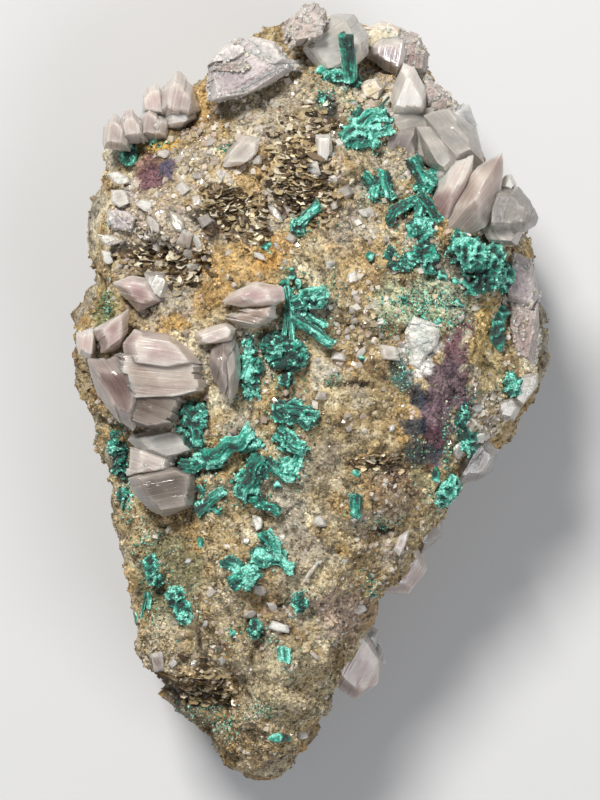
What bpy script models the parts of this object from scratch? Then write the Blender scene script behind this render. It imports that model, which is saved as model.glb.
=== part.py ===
"""Malachite and calcite on a limonite matrix: a wedge-shaped hand specimen lying on its back.

The front face looks up and the base is flat. Tables and shapes are in millimetres, and a mesh is
in metres. A place on the front face is (u, v): u to the right and v up from the middle of the
face, as they look from straight in front of it at VIEW_DISTANCE.
"""

import itertools
import math

import bmesh
import bpy
import numpy as np
from mathutils import Matrix, Vector
from mathutils.bvhtree import BVHTree

MM = 0.001

# The eye is VIEW_DISTANCE in front of the height at which u and v are true. The centre is the
# place (u, v) that the origin is under.
VIEW_DISTANCE = 300.0
FACE_HEIGHT = 30.0
CENTRE_U = 1.35
CENTRE_V = 0.3

# Space left round the matrix and round each crystal, where another piece is cut clear of it.
MATRIX_GAP = 0.35
CRYSTAL_GAP = 0.45

# How facets are made triangles: what counts as flat, and the distances tried for merging corners.
FLATNESS = math.radians(1.5)
MERGES = (0.0, 0.02, 0.05, 0.1)

# The matrix from its foot to its head. Each row is a section: v, then the u of its left and
# right edges, the heights of these two edges, and the u and height of its crest.
FOOT_V = -37.2
HEAD_V = 37.2
SECTIONS = (
    (-37.2, -7.4, 0.0, 11.0, 11.0, -4.2, 23.0),
    (-35.0, -7.4, 0.4, 11.5, 11.0, -4.2, 24.0),
    (-33.0, -8.8, 1.6, 12.0, 11.0, -4.2, 25.0),
    (-30.0, -12.2, 2.9, 13.0, 12.0, -5.0, 26.5),
    (-27.0, -15.3, 4.0, 15.0, 12.0, -5.0, 27.5),
    (-23.0, -16.1, 5.6, 16.5, 12.5, -4.0, 29.0),
    (-18.0, -16.4, 8.8, 17.5, 13.0, -2.5, 30.5),
    (-13.0, -17.1, 12.8, 18.5, 13.5, -1.0, 31.5),
    (-8.0, -18.2, 16.2, 19.5, 14.0, 0.0, 32.5),
    (-3.0, -20.2, 19.8, 20.0, 14.0, 0.5, 33.0),
    (-0.5, -21.2, 21.0, 20.0, 14.0, 0.8, 33.1),
    (2.0, -21.9, 22.2, 20.0, 14.0, 1.0, 33.2),
    (5.0, -22.1, 22.8, 20.0, 14.0, 1.3, 33.3),
    (8.0, -21.5, 23.0, 20.0, 14.0, 1.6, 33.4),
    (11.0, -19.4, 23.0, 20.0, 14.4, 1.9, 33.2),
    (17.0, -19.2, 21.6, 20.0, 15.0, 2.4, 32.6),
    (22.0, -19.6, 19.0, 19.5, 15.0, 2.4, 31.6),
    (26.0, -18.2, 16.6, 18.5, 15.0, 2.0, 30.4),
    (29.0, -14.8, 14.6, 17.5, 15.0, 1.6, 29.0),
    (32.0, -9.6, 12.8, 16.0, 14.5, 2.0, 27.4),
    (35.0, -7.0, 11.0, 15.0, 14.0, 3.0, 25.5),
    (37.2, -5.6, 9.6, 14.0, 13.5, 3.6, 24.0),
)
SECTION_BLEND = 1.6
BLEND_STEPS = 5
SECTION_CORNER = 2.6
END_BLUNTNESS = 12
END_LEAN = 9
BACK_HEIGHT = -6.0
SIDES_AROUND = 58
RINGS_UP = 27
EVEN_RINGS = 0.65

# Broken faces of the matrix. Each is a plane whose normal has a heading in the face (0 is along
# u, 90 along v) and a climb towards the viewer, in degrees, and its distance from the heart.
HEART = (0.0, 0.0, 17.0)
BREAKS = (
    (182, -16, 20.2),
    (204, -10, 24.2),
    (232, -14, 33.0),
    (-30, -8, 19.0),
    (4, 38, 21.4),
    (34, 30, 26.2),
    (62, 24, 31.4),
    (128, 40, 26.2),
    (150, 14, 27.4),
    (-8, -40, 22.4),
    (168, -46, 23.4),
    (84, -24, 36.0),
    (-96, -30, 36.6),
    (262, 34, 31.0),
)

# The rough of the matrix: lattice size, height and seed of each noise, then the hollows (-) and
# swells (+) of its front: u, v, half length, half width, turn in degrees, height.
LATTICE = 32
LUMPS = ((12.0, 1.1, 11), (5.6, 1.1, 12), (2.8, 0.65, 13))
RELIEF_BRIM = 1.5
RELIEF = (
    (-14.5, 14.2, 5.6, 1.7, -8, -2.6),
    (-7.2, 18.8, 4.6, 2.0, 48, -2.6),
    (-11.0, 12.2, 2.0, 1.4, 80, -2.2),
    (-15.0, 18.4, 5.6, 2.4, -6, 1.3),
    (1.5, 26.0, 6.5, 2.2, 96, 1.2),
    (2.5, 16.0, 6.0, 2.4, 88, 0.9),
    (18.2, 10.0, 4.2, 1.4, -48, -2.4),
    (20.0, 5.5, 3.2, 1.6, 88, -1.6),
    (14.5, 5.0, 5.5, 3.0, 60, 0.8),
    (-8.0, -27.2, 4.4, 1.5, -56, -2.4),
    (-3.8, -34.0, 3.4, 3.6, 0, 1.2),
    (-13.0, -25.5, 3.0, 3.6, 20, 1.2),
    (-1.0, -27.5, 5.0, 2.8, 70, 1.0),
    (8.4, -12.9, 2.4, 1.3, 10, -1.6),
    (7.4, -6.1, 2.8, 1.0, -8, -1.4),
    (-18.6, -5.0, 1.8, 3.6, 10, -1.6),
)

# Calcite on the front. A cluster has a root (u, v), where its height is taken from the matrix,
# and crystals: lift of the middle above the root, slope along u and v, thickness, how far the
# flat faces are set in from the edge (1 is a ridge), and the corners (u, v) of the edge.
CALCITE = {
    "calcite_left_fan": ((-14.5, 2.5), (
        (2.2, 0.05, 0.10, 5.4, 0.22, ((-18.2, 5.6), (-16.7, 6.7), (-13.4, 6.8), (-11.4, 5.5),
                                      (-9.8, 3.6), (-12.4, 3.2), (-16.6, 3.6))),
        (1.6, 0.04, 0.04, 5.0, 0.16, ((-17.2, 4.4), (-12.4, 4.0), (-9.5, 3.2), (-9.3, 0.9),
                                      (-11.5, 0.4), (-16.9, 0.3))),
        (0.8, 0.04, 0.02, 4.4, 0.18, ((-17.4, 1.2), (-11.4, 1.0), (-11.8, -1.4), (-12.3, -2.5),
                                      (-16.2, -2.4))),
        (1.4, 0.25, 0.00, 4.2, 0.35, ((-20.4, 6.2), (-18.8, 5.0), (-16.6, 0.8), (-16.4, -3.2),
                                      (-17.4, -2.6), (-19.7, 1.0), (-21.4, 3.6))),
        (0.4, 0.30, 0.10, 4.6, 0.25, ((-20.6, 7.2), (-17.0, 9.4), (-16.8, 6.6), (-18.6, 4.4),
                                      (-20.6, 4.2))),
        (-1.6, 0.40, 0.00, 4.4, 0.30, ((-22.4, 6.8), (-20.4, 7.3), (-19.8, 5.0), (-20.8, 3.6),
                                       (-22.4, 4.6))),
    )),
    "calcite_left_wedge": ((-15.2, 11.0), (
        (0.9, 0.10, 0.15, 4.2, 0.30, ((-19.0, 11.5), (-18.2, 12.5), (-14.0, 12.3), (-13.4, 10.0),
                                      (-16.4, 8.8))),
        (0.4, 0.05, -0.10, 3.4, 0.30, ((-15.6, 12.8), (-13.6, 12.9), (-12.7, 11.2), (-13.6, 9.6),
                                       (-15.4, 10.4))),
    )),
    "calcite_left_lower": ((-13.8, -6.5), (
        (1.6, 0.06, 0.06, 3.0, 0.14, ((-17.7, -3.8), (-15.4, -3.1), (-12.2, -2.9), (-11.3, -3.4),
                                      (-9.8, -4.9), (-13.4, -6.2), (-16.2, -5.4))),
        (0.6, 0.05, 0.02, 3.2, 0.20, ((-17.0, -5.0), (-13.0, -5.6), (-13.6, -7.4),
                                      (-16.6, -7.3))),
        (0.8, 0.05, 0.10, 4.4, 0.20, ((-17.4, -8.0), (-16.4, -7.1), (-13.2, -6.6), (-10.1, -7.1),
                                      (-10.2, -10.4), (-13.3, -11.7), (-14.8, -11.0),
                                      (-16.5, -9.4))),
    )),
    "calcite_centre_blades": ((-3.8, 9.4), (
        (1.8, 0.10, 0.10, 3.6, 0.42, ((-8.2, 10.0), (-6.0, 11.2), (-3.8, 12.0), (-1.4, 11.2),
                                      (-1.3, 9.6), (-3.0, 8.8), (-6.2, 9.2))),
        (1.2, 0.12, 0.12, 3.4, 0.42, ((-8.0, 8.1), (-5.4, 9.4), (-2.4, 9.6), (-2.1, 8.3),
                                      (-3.8, 7.0), (-6.2, 7.2))),
    )),
    "calcite_hanging_blades": ((-7.6, 4.8), (
        (0.8, 0.05, 0.10, 3.4, 0.25, ((-10.8, 7.2), (-8.6, 7.9), (-6.2, 7.6), (-6.2, 6.0),
                                      (-8.8, 5.3), (-10.6, 5.9))),
        (1.5, 0.20, -0.12, 3.4, 0.45, ((-9.3, 4.6), (-7.9, 6.2), (-6.7, 5.6), (-6.9, 2.0),
                                       (-7.9, 0.1), (-8.9, 2.0))),
        (1.3, -0.20, -0.12, 3.4, 0.45, ((-7.6, 5.8), (-6.5, 6.4), (-5.7, 4.8), (-6.0, 1.6),
                                        (-6.9, -0.6), (-7.7, 2.0))),
    )),
    "calcite_top_left_row": ((-14.8, 27.0), (
        (0.8, 0.10, 0.05, 5.0, 0.30, ((-19.4, 25.0), (-19.2, 27.6), (-18.2, 28.8), (-17.2, 27.4),
                                      (-17.2, 24.8))),
        (1.4, 0.10, 0.05, 5.0, 0.40, ((-17.8, 25.6), (-18.0, 28.4), (-17.2, 29.4), (-15.8, 28.2),
                                      (-15.6, 25.6))),
        (1.0, 0.00, 0.00, 4.6, 0.30, ((-16.2, 26.6), (-15.8, 28.8), (-14.4, 29.3), (-13.4, 28.0),
                                      (-13.6, 26.4))),
        (0.6, 0.05, 0.00, 4.2, 0.20, ((-15.6, 28.6), (-15.3, 31.4), (-14.4, 31.9), (-13.6, 31.2),
                                      (-13.6, 28.2))),
        (1.4, 0.00, 0.05, 5.6, 0.40, ((-13.8, 28.6), (-13.4, 31.6), (-12.4, 33.2), (-11.0, 32.0),
                                      (-10.3, 29.2), (-11.6, 27.6))),
        (1.2, 0.00, -0.10, 4.0, 0.25, ((-13.8, 28.8), (-10.4, 29.8), (-10.2, 28.2), (-12.0, 27.0),
                                       (-13.8, 27.2))),
    )),
    "calcite_top_plate": ((-4.8, 31.2), (
        (2.0, 0.05, -0.25, 5.6, 0.16, ((-9.5, 33.6), (-6.5, 36.1), (-4.6, 36.2), (-2.0, 35.6),
                                       (-0.6, 33.4), (-2.2, 32.4), (-5.7, 30.4), (-9.1, 29.7))),
        (2.6, 0.10, -0.30, 4.2, 0.20, ((-5.6, 35.4), (-4.7, 36.4), (-2.2, 35.9), (-0.8, 33.6),
                                       (-3.2, 32.8))),
    )),
    "calcite_top_crest": ((3.2, 33.0), (
        (1.0, 0.05, -0.25, 6.0, 0.25, ((-1.8, 36.6), (-1.2, 38.0), (0.6, 39.6), (2.1, 39.7),
                                       (2.8, 38.8), (2.4, 36.0), (-1.2, 35.0))),
        (-0.4, 0.00, 0.00, 5.6, 0.30, ((0.2, 35.0), (1.4, 37.8), (4.0, 38.9), (5.4, 38.6),
                                       (6.9, 36.6), (6.9, 34.6), (5.2, 33.0), (1.8, 32.8))),
    )),
    "calcite_top_rhomb": ((9.6, 32.6), (
        (1.6, -0.05, -0.20, 5.6, 0.25, ((6.5, 34.2), (7.2, 36.2), (11.2, 36.2), (11.4, 33.6),
                                        (9.5, 32.2))),
        (0.4, -0.20, -0.15, 6.0, 0.30, ((10.0, 37.2), (12.0, 36.6), (12.9, 34.6), (12.7, 32.6),
                                        (10.6, 32.0), (9.8, 34.0))),
    )),
    "calcite_top_prism": ((10.6, 29.4), (
        (2.4, 0.05, 0.00, 5.4, 0.25, ((9.0, 28.8), (9.6, 31.6), (10.4, 33.9), (11.2, 33.4),
                                      (12.8, 30.8), (12.3, 28.6))),
        (1.2, -0.10, 0.10, 4.4, 0.25, ((9.4, 29.2), (13.8, 29.0), (13.6, 26.2), (11.0, 25.6),
                                       (9.2, 26.6))),
        (1.0, 0.00, 0.20, 4.4, 0.20, ((8.2, 26.8), (11.7, 27.2), (11.6, 23.8), (9.4, 22.7),
                                      (8.3, 24.0))),
    )),
    "calcite_right_mass": ((14.4, 27.2), (
        (1.2, -0.10, 0.00, 5.6, 0.25, ((12.6, 31.0), (12.9, 32.6), (15.4, 30.0), (16.4, 28.8),
                                       (15.2, 27.0), (12.8, 28.0))),
        (0.8, -0.20, 0.00, 5.6, 0.25, ((13.6, 29.0), (16.3, 29.6), (17.4, 27.8), (17.9, 25.4),
                                       (16.4, 25.0), (13.4, 26.4))),
    )),
    "calcite_flower": ((15.6, 19.6), (
        (1.2, 0.00, 0.20, 5.2, 0.25, ((12.9, 25.6), (17.6, 25.9), (18.6, 23.4), (17.4, 20.4),
                                      (13.2, 20.6))),
        (3.0, 0.10, 0.20, 5.2, 0.55, ((14.0, 17.4), (14.1, 20.4), (17.6, 23.8), (20.3, 24.9),
                                      (20.1, 22.6), (18.4, 17.7), (16.0, 16.6))),
        (1.0, -0.20, 0.10, 5.0, 0.40, ((18.6, 20.6), (19.6, 21.6), (21.8, 21.5), (23.0, 20.1),
                                       (23.9, 17.8), (22.6, 16.9), (19.2, 16.4))),
        (-0.4, -0.20, 0.00, 4.6, 0.30, ((17.6, 18.4), (20.6, 19.2), (22.4, 16.8), (21.8, 15.4),
                                        (18.8, 15.6))),
    )),
    "calcite_right_coat": ((21.0, 9.0), (
        (-1.4, -0.35, 0.00, 4.6, 0.35, ((20.8, 15.2), (23.2, 14.0), (24.0, 10.6), (23.0, 8.4),
                                        (20.6, 9.6))),
        (-1.6, -0.35, 0.00, 4.6, 0.35, ((20.8, 10.6), (23.9, 10.2), (24.0, 6.0), (23.4, 2.6),
                                        (21.6, 3.4), (20.6, 6.6))),
    )),
    "calcite_right_clear": ((20.2, -0.6), (
        (0.4, -0.20, 0.10, 3.6, 0.30, ((19.8, -0.2), (21.4, 0.4), (22.1, -0.8), (21.4, -2.2),
                                       (19.9, -1.8))),
        (-0.6, -0.30, 0.10, 3.4, 0.20, ((21.2, 0.0), (22.2, 2.6), (23.8, 2.8), (23.8, 1.4),
                                        (22.2, -0.8))),
    )),
    "calcite_right_smoky": ((16.6, -5.0), (
        (-3.6, -0.10, 0.20, 5.6, 0.35, ((16.2, -4.4), (18.6, -3.6), (19.8, -5.0), (19.4, -6.9),
                                        (17.9, -8.1), (15.8, -8.4), (15.2, -6.2))),
    )),
    "calcite_low_edge_a": ((12.2, -12.0), (
        (-5.0, -0.20, 0.10, 5.2, 0.35, ((12.0, -9.6), (14.4, -10.2), (14.2, -13.6), (12.2, -15.6),
                                        (10.6, -13.0))),
    )),
    "calcite_low_edge_b": ((8.2, -18.0), (
        (-10.5, -0.20, 0.10, 5.6, 0.35, ((9.0, -14.4), (12.2, -14.2), (12.8, -17.0),
                                         (10.8, -19.6), (7.4, -19.2))),
    )),
    "calcite_low_edge_c": ((3.6, -25.6), (
        (-9.6, -0.15, 0.15, 6.0, 0.30, ((4.0, -22.4), (7.0, -22.6), (8.5, -25.2), (7.8, -28.4),
                                        (5.6, -30.0), (3.0, -28.4))),
        (-10.6, -0.20, 0.00, 5.2, 0.40, ((5.6, -21.6), (8.0, -23.0), (8.6, -26.4),
                                         (5.0, -26.8))),
    )),
    "calcite_front_cube": ((2.3, 25.2), (
        (0.7, 0.10, 0.10, 2.8, 0.25, ((1.5, 26.6), (3.1, 26.8), (3.3, 25.0), (2.6, 23.5),
                                      (1.6, 24.0))),
    )),
    "calcite_front_rhomb": ((7.2, 31.0), (
        (1.2, 0.05, -0.10, 3.0, 0.25, ((5.8, 31.6), (7.6, 32.4), (8.6, 31.2), (7.8, 29.8),
                                       (6.0, 30.2))),
    )),
}

# Calcite on the sides: where round the section in degrees, where from foot (0) to head (1), how
# far the crystals reach, and the seed of their spread.
SIDE_CALCITE = {
    "calcite_side_left_a": (204, 0.74, 3.0, 21),
    "calcite_side_left_b": (210, 0.36, 3.0, 22),
    "calcite_side_right_a": (-28, 0.66, 3.0, 23),
    "calcite_side_right_b": (-24, 0.44, 3.2, 24),
    "calcite_side_head": (-40, 0.93, 2.8, 25),
}
SIDE_CRYSTALS = 3
SIDE_REACHES = (0.9, 1.3)
SIDE_SPREAD = 0.75
SIDE_LEAN_UP = 0.6
SIDE_DEPTH = 1.2
SIDE_SPACING = 1.4
SPEAR_WIDTH = 3.2
SPEAR_SIDES = 6
SPEAR_SHOULDERS = (0.60, 0.44)
SPEAR_HALVES = (0.5, 0.32)

# Malachite on the front. A rod runs between two places (u, v, lift) and has a width. A lump has
# a place (u, v, lift) and half sizes along u, v and up. A lift is from the matrix at that place.
MALACHITE = {
    "malachite_top_rod": (
        ((4.6, 36.6, 14.2, 5.1, 31.8, 2.4, 1.3),),
        ((3.4, 32.2, 0.6, 1.3, 0.9, 1.2), (5.0, 31.8, 0.9, 1.2, 0.8, 1.3)),
    ),
    "malachite_top_fan": (
        ((4.0, 26.2, 0.6, 8.4, 28.8, 1.6, 1.5), (5.2, 25.6, 0.4, 9.2, 27.2, 1.2, 1.3),
         (5.6, 28.8, 0.8, 8.0, 25.4, 0.8, 1.3)),
        ((6.2, 27.0, 0.5, 2.2, 1.4, 1.3), (7.8, 28.2, 0.4, 1.4, 1.0, 1.2)),
    ),
    "malachite_pair": (
        ((6.9, 22.4, 0.4, 7.4, 20.2, 0.8, 1.1), (8.6, 22.6, 0.4, 8.8, 20.2, 0.8, 1.2)),
        ((8.0, 21.2, 0.2, 1.3, 0.9, 0.9),),
    ),
    "malachite_fork": (
        ((11.2, 24.2, 1.2, 13.2, 21.0, 0.8, 1.6), (14.3, 24.3, 1.4, 12.8, 21.6, 0.9, 1.4)),
        ((12.6, 21.6, 0.4, 1.4, 1.4, 1.2),),
    ),
    "malachite_roof": (
        ((8.5, 18.0, 0.8, 11.6, 20.4, 1.6, 1.1), (11.8, 20.3, 1.6, 14.1, 18.0, 0.8, 0.9),
         (11.6, 20.2, 1.0, 12.0, 17.2, 0.6, 1.2), (8.6, 15.0, 0.3, 11.2, 13.2, 0.5, 1.2),
         (11.0, 13.2, 0.5, 13.6, 15.4, 0.6, 1.3)),
        ((12.0, 17.2, 0.4, 1.6, 1.3, 1.1), (12.4, 14.4, 0.4, 1.5, 1.7, 1.1),
         (9.8, 13.9, 0.2, 1.3, 0.9, 0.9)),
    ),
    "malachite_right_clump": (
        ((15.4, 16.2, 1.2, 19.4, 13.8, 1.4, 1.8),),
        ((16.6, 14.8, 0.6, 2.0, 1.9, 1.7), (18.8, 14.2, 0.6, 1.9, 1.6, 1.7),
         (18.0, 12.2, 0.4, 2.0, 1.7, 1.6), (20.0, 12.4, 0.2, 1.5, 1.6, 1.5)),
    ),
    "malachite_diagonal": (
        ((2.0, 19.6, 0.8, -0.1, 17.6, 0.5, 1.3),),
        ((-0.1, 17.2, 0.2, 0.8, 0.9, 0.8),),
    ),
    "malachite_tuft": (
        ((-0.8, 8.2, 1.0, 3.2, 5.6, 2.2, 1.3), (0.8, 8.2, 0.9, 2.8, 7.0, 1.6, 1.1),
         (-0.8, 10.6, 0.6, 2.6, 10.8, 2.0, 1.5), (-0.4, 9.4, 0.8, 2.4, 9.4, 1.4, 1.2),
         (-1.6, 11.2, 0.8, -1.0, 5.8, 0.8, 1.0)),
        ((-0.2, 9.4, 0.3, 1.6, 1.8, 1.3),),
    ),
    "malachite_centre_clump": (
        ((-3.6, 6.2, 0.8, 0.6, 4.2, 1.0, 1.4), (-2.8, 3.2, 0.6, 0.2, 5.6, 0.9, 1.2)),
        ((-2.4, 5.3, 0.4, 1.4, 1.6, 1.2), (-0.8, 4.3, 0.4, 1.6, 1.5, 1.3),
         (-1.4, 2.1, 0.1, 0.8, 0.9, 0.8)),
    ),
    "malachite_centre_stem": (
        ((-5.6, 6.0, 0.6, -4.6, 4.8, 0.6, 1.3), (-4.4, 4.2, 0.5, -5.6, 2.0, 0.6, 1.4)),
        ((-4.8, 3.2, 0.3, 1.2, 1.4, 1.0), (-4.8, 1.0, 0.2, 1.0, 1.0, 0.9)),
    ),
    "malachite_leaves": (
        ((-11.6, -0.6, 1.0, -9.8, -4.4, 0.8, 1.4), (-9.8, -0.6, 0.8, -11.4, -2.6, 0.8, 1.3)),
        ((-10.4, -1.6, 0.3, 1.5, 1.4, 1.1), (-10.6, -3.6, 0.3, 1.2, 1.3, 1.0)),
    ),
    "malachite_bar": (
        ((-9.4, -5.8, 1.2, -4.8, -3.2, 1.6, 1.5), (-11.8, -6.2, 0.8, -8.6, -6.2, 1.0, 1.3),
         (-6.0, -5.2, 0.8, -3.9, -4.2, 1.0, 1.2)),
        ((-8.6, -5.8, 0.3, 1.6, 1.1, 1.0),),
    ),
    "malachite_chain": (
        ((-3.8, -5.6, 0.8, -6.0, -9.8, 0.9, 1.5), (-4.6, -9.4, 0.7, -2.2, -11.4, 0.7, 1.3)),
        ((-5.4, -8.6, 0.3, 1.3, 1.5, 1.1), (-4.2, -6.8, 0.3, 1.1, 1.2, 1.0)),
    ),
    "malachite_low_rod": (
        ((-10.3, -11.1, 0.8, -7.7, -9.0, 1.2, 1.1), (-10.0, -8.6, 0.5, -9.2, -10.0, 0.6, 1.0)),
        ((-9.4, -10.3, 0.2, 1.0, 0.8, 0.8),),
    ),
    "malachite_round": (
        ((-2.4, -0.6, 0.9, 1.2, -2.2, 1.0, 1.5),),
        ((-1.2, -1.2, 0.4, 1.7, 1.3, 1.3), (0.6, -1.8, 0.4, 1.2, 1.1, 1.2)),
    ),
    "malachite_bowl": (
        ((-2.4, -3.2, 0.8, 0.4, -4.8, 1.0, 1.4), (-3.4, -6.4, 0.6, -0.4, -7.6, 0.8, 1.3),
         (0.0, -4.6, 0.8, -0.6, -7.4, 0.8, 1.2)),
        ((-1.2, -4.2, 0.3, 1.5, 1.1, 1.1), (-1.4, -6.8, 0.2, 1.5, 1.0, 1.0)),
    ),
    "malachite_low_a": (
        ((-7.2, -15.7, 0.6, -5.0, -18.6, 0.9, 1.5), (-7.0, -18.2, 0.6, -4.4, -17.2, 0.9, 1.4)),
        ((-5.4, -17.6, 0.3, 1.3, 1.3, 1.1),),
    ),
    "malachite_low_b": (
        ((-4.8, -15.6, 0.8, -0.6, -16.6, 1.0, 1.4), (-3.4, -13.2, 0.6, -2.6, -15.6, 0.8, 1.3)),
        ((-3.2, -15.4, 0.3, 1.6, 1.2, 1.1),),
    ),
    "malachite_low_left_a": ((), ((-14.4, -16.6, 0.2, 1.2, 1.0, 0.9),
                                  (-14.2, -17.6, 0.2, 1.1, 0.9, 0.8))),
    "malachite_low_left_b": ((), ((-12.4, -19.8, 0.3, 1.1, 1.2, 1.0),
                                  (-11.6, -21.2, 0.2, 0.9, 1.1, 0.9))),
    "malachite_bead_a": ((), ((0.1, -20.0, 0.3, 0.9, 1.2, 1.0),)),
    "malachite_bead_b": ((), ((-4.5, -22.9, 0.2, 0.7, 0.9, 0.8),)),
    "malachite_bead_c": ((), ((-6.9, -23.5, 0.2, 0.7, 1.0, 0.8),)),
    "malachite_tile": (((-1.6, -24.6, 0.7, -1.5, -26.6, 0.7, 1.4),), ()),
    "malachite_seed": (((5.6, -9.4, 0.6, 5.6, -11.8, 0.7, 1.3),), ()),
    "malachite_edge_left_a": ((), ((-18.2, -4.6, 0.2, 1.1, 1.6, 1.0),
                                   (-17.8, -6.4, 0.1, 1.1, 1.4, 0.9))),
    "malachite_edge_left_b": ((), ((-17.2, -9.6, 0.1, 1.0, 1.4, 0.9),)),
    "malachite_edge_right_a": ((), ((21.2, 1.5, 0.8, 1.0, 1.3, 1.2),)),
    "malachite_edge_right_b": (
        ((15.8, -1.2, 0.8, 16.5, -4.6, 0.8, 1.3), (17.0, -3.2, 0.7, 17.2, -5.6, 0.9, 1.3)),
        ((16.6, -4.0, 0.4, 1.1, 1.6, 1.1),),
    ),
    "malachite_edge_right_c": ((), ((14.6, -8.6, -0.4, 1.4, 1.4, 1.3),
                                    (13.8, -9.8, -0.6, 1.2, 1.2, 1.2))),
    "malachite_head_left": ((), ((-17.0, 24.3, 0.4, 0.9, 0.9, 0.9),)),
}
ROD_SIDES = 4
ROD_TAPER = 0.84
LUMP_PLUMPNESS = 1.12
LUMP_NOISE = (1.1, 0.16, 31)


def clear_scene():
    """Removes the objects that a new file starts with."""
    for item in list(bpy.data.objects):
        bpy.data.objects.remove(item, do_unlink=True)


def make_collection(name):
    collection = bpy.data.collections.new(name)
    bpy.context.scene.collection.children.link(collection)
    return collection


def make_material(name, colour, roughness, transmission=0.0):
    material = bpy.data.materials.new(name)
    material.use_nodes = True
    shader = material.node_tree.nodes["Principled BSDF"]
    shader.inputs["Base Color"].default_value = (*colour, 1.0)
    shader.inputs["Roughness"].default_value = roughness
    shader.inputs["Metallic"].default_value = 0.0
    shader.inputs["Transmission Weight"].default_value = transmission
    material.diffuse_color = (*colour, 1.0)
    return material


def value_noise(points, size, seed):
    """Noise from -1 to 1: random values on a cubic lattice of this size, blended smoothly."""
    values = np.random.default_rng(seed).uniform(-1.0, 1.0, (LATTICE, LATTICE, LATTICE))
    cell = np.floor(points / size).astype(int)
    part = points / size - cell
    part = part * part * (3.0 - 2.0 * part)
    total = np.zeros(len(points))
    for corner in np.ndindex(2, 2, 2):
        weight = np.prod(np.where(corner, part, 1.0 - part), axis=1)
        near = (cell + corner) % LATTICE
        total += weight * values[near[:, 0], near[:, 1], near[:, 2]]
    return total


def relief(u, v):
    """Sum of the hollows and swells: each one is a bell over a turned ellipse."""
    total = np.zeros(len(u))
    for middle_u, middle_v, long_half, wide_half, turn, height in RELIEF:
        angle = math.radians(turn)
        along = (u - middle_u) * math.cos(angle) + (v - middle_v) * math.sin(angle)
        across = (v - middle_v) * math.cos(angle) - (u - middle_u) * math.sin(angle)
        reach = (along / long_half) ** 2 + (across / wide_half) ** 2
        total += height * np.exp(-reach**RELIEF_BRIM)
    return total


def section_value(v, column):
    """A column of SECTIONS at v, averaged over a short stretch so that it has no kinks."""
    rows = np.array(SECTIONS)
    steps = np.linspace(-SECTION_BLEND, SECTION_BLEND, BLEND_STEPS)
    return np.mean([np.interp(v + step, rows[:, 0], rows[:, column]) for step in steps], axis=0)


def broken(points):
    """Points beyond a broken face fall straight onto its plane."""
    for heading, climb, distance in BREAKS:
        flat = math.cos(math.radians(climb))
        normal = np.array([
            flat * math.cos(math.radians(heading)),
            flat * math.sin(math.radians(heading)),
            math.sin(math.radians(climb)),
        ])
        beyond = (points - np.array(HEART)) @ normal - distance
        points = points - np.maximum(beyond, 0.0)[:, None] * normal
    return points


def matrix_points(turn, rise, grow=0.0):
    """Points on the matrix, for turn round the section and rise from foot (0) to head (1).

    A section is a superellipse between its two edges, leaned so that it peaks at the crest. It
    closes at both ends like a blunt dome. Planes break pieces off, and then noise and relief
    move each point outwards.
    """
    v = FOOT_V + (HEAD_V - FOOT_V) * rise
    left, right, left_rim, right_rim, crest_u, crest = (section_value(v, k) for k in range(1, 7))
    side = np.sign(np.cos(turn)) * np.abs(np.cos(turn)) ** (2.0 / SECTION_CORNER)
    front = np.sign(np.sin(turn)) * np.abs(np.sin(turn)) ** (2.0 / SECTION_CORNER)
    closing = np.sqrt(1.0 - np.abs(2.0 * rise - 1.0) ** END_BLUNTNESS)
    middle = (left + right) / 2.0
    face = np.maximum(front, 0.0)
    rim = (left_rim + right_rim) / 2.0 + (right_rim - left_rim) / 2.0 * side
    depth = np.where(front > 0.0, crest - rim, rim - BACK_HEIGHT)
    u = middle + closing * ((right - left) / 2.0 * side + (crest_u - middle) * face**2)
    z = rim + closing * depth * front
    out = np.stack([np.cos(turn), (2.0 * rise - 1.0) ** END_LEAN, np.sin(turn)], axis=1)
    out /= np.linalg.norm(out, axis=1)[:, None]
    points = broken(np.stack([u, v, z], axis=1))
    swell = sum(height * value_noise(points, size, seed) for size, height, seed in LUMPS)
    swell += relief(u, v) * face
    return points + out * (swell + grow)[:, None]


def placed(points):
    """World places in metres of points (u, v, z). A deeper point sits further out than it looks."""
    points = np.atleast_2d(np.asarray(points, dtype=float))
    spread = (VIEW_DISTANCE + FACE_HEIGHT - points[:, 2]) / VIEW_DISTANCE
    x = points[:, 0] * spread - CENTRE_U
    y = points[:, 1] * spread - CENTRE_V
    return np.stack([x, y, points[:, 2]], axis=1) * MM


def new_object(name, mesh_source, collection, material=None):
    """An object from a bmesh, which is freed."""
    mesh = bpy.data.meshes.new(name)
    bmesh.ops.recalc_face_normals(mesh_source, faces=mesh_source.faces)
    mesh_source.to_mesh(mesh)
    mesh_source.free()
    item = bpy.data.objects.new(name, mesh)
    collection.objects.link(item)
    if material:
        mesh.materials.append(material)
    return item


def matrix_sphere(grow):
    """The matrix as a bmesh: a sphere whose rings take places on it, the end rings closer."""
    body = bmesh.new()
    bmesh.ops.create_uvsphere(body, u_segments=SIDES_AROUND, v_segments=RINGS_UP, radius=1.0)
    unit = np.array([vertex.co for vertex in body.verts])
    even = np.arccos(np.clip(-unit[:, 2], -1.0, 1.0)) / math.pi
    rise = EVEN_RINGS * even + (1.0 - EVEN_RINGS) * (1.0 - np.cos(math.pi * even)) / 2.0
    turn = np.arctan2(unit[:, 1], unit[:, 0])
    for vertex, place in zip(body.verts, placed(matrix_points(turn, rise, grow))):
        vertex.co = place
    return body


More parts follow.
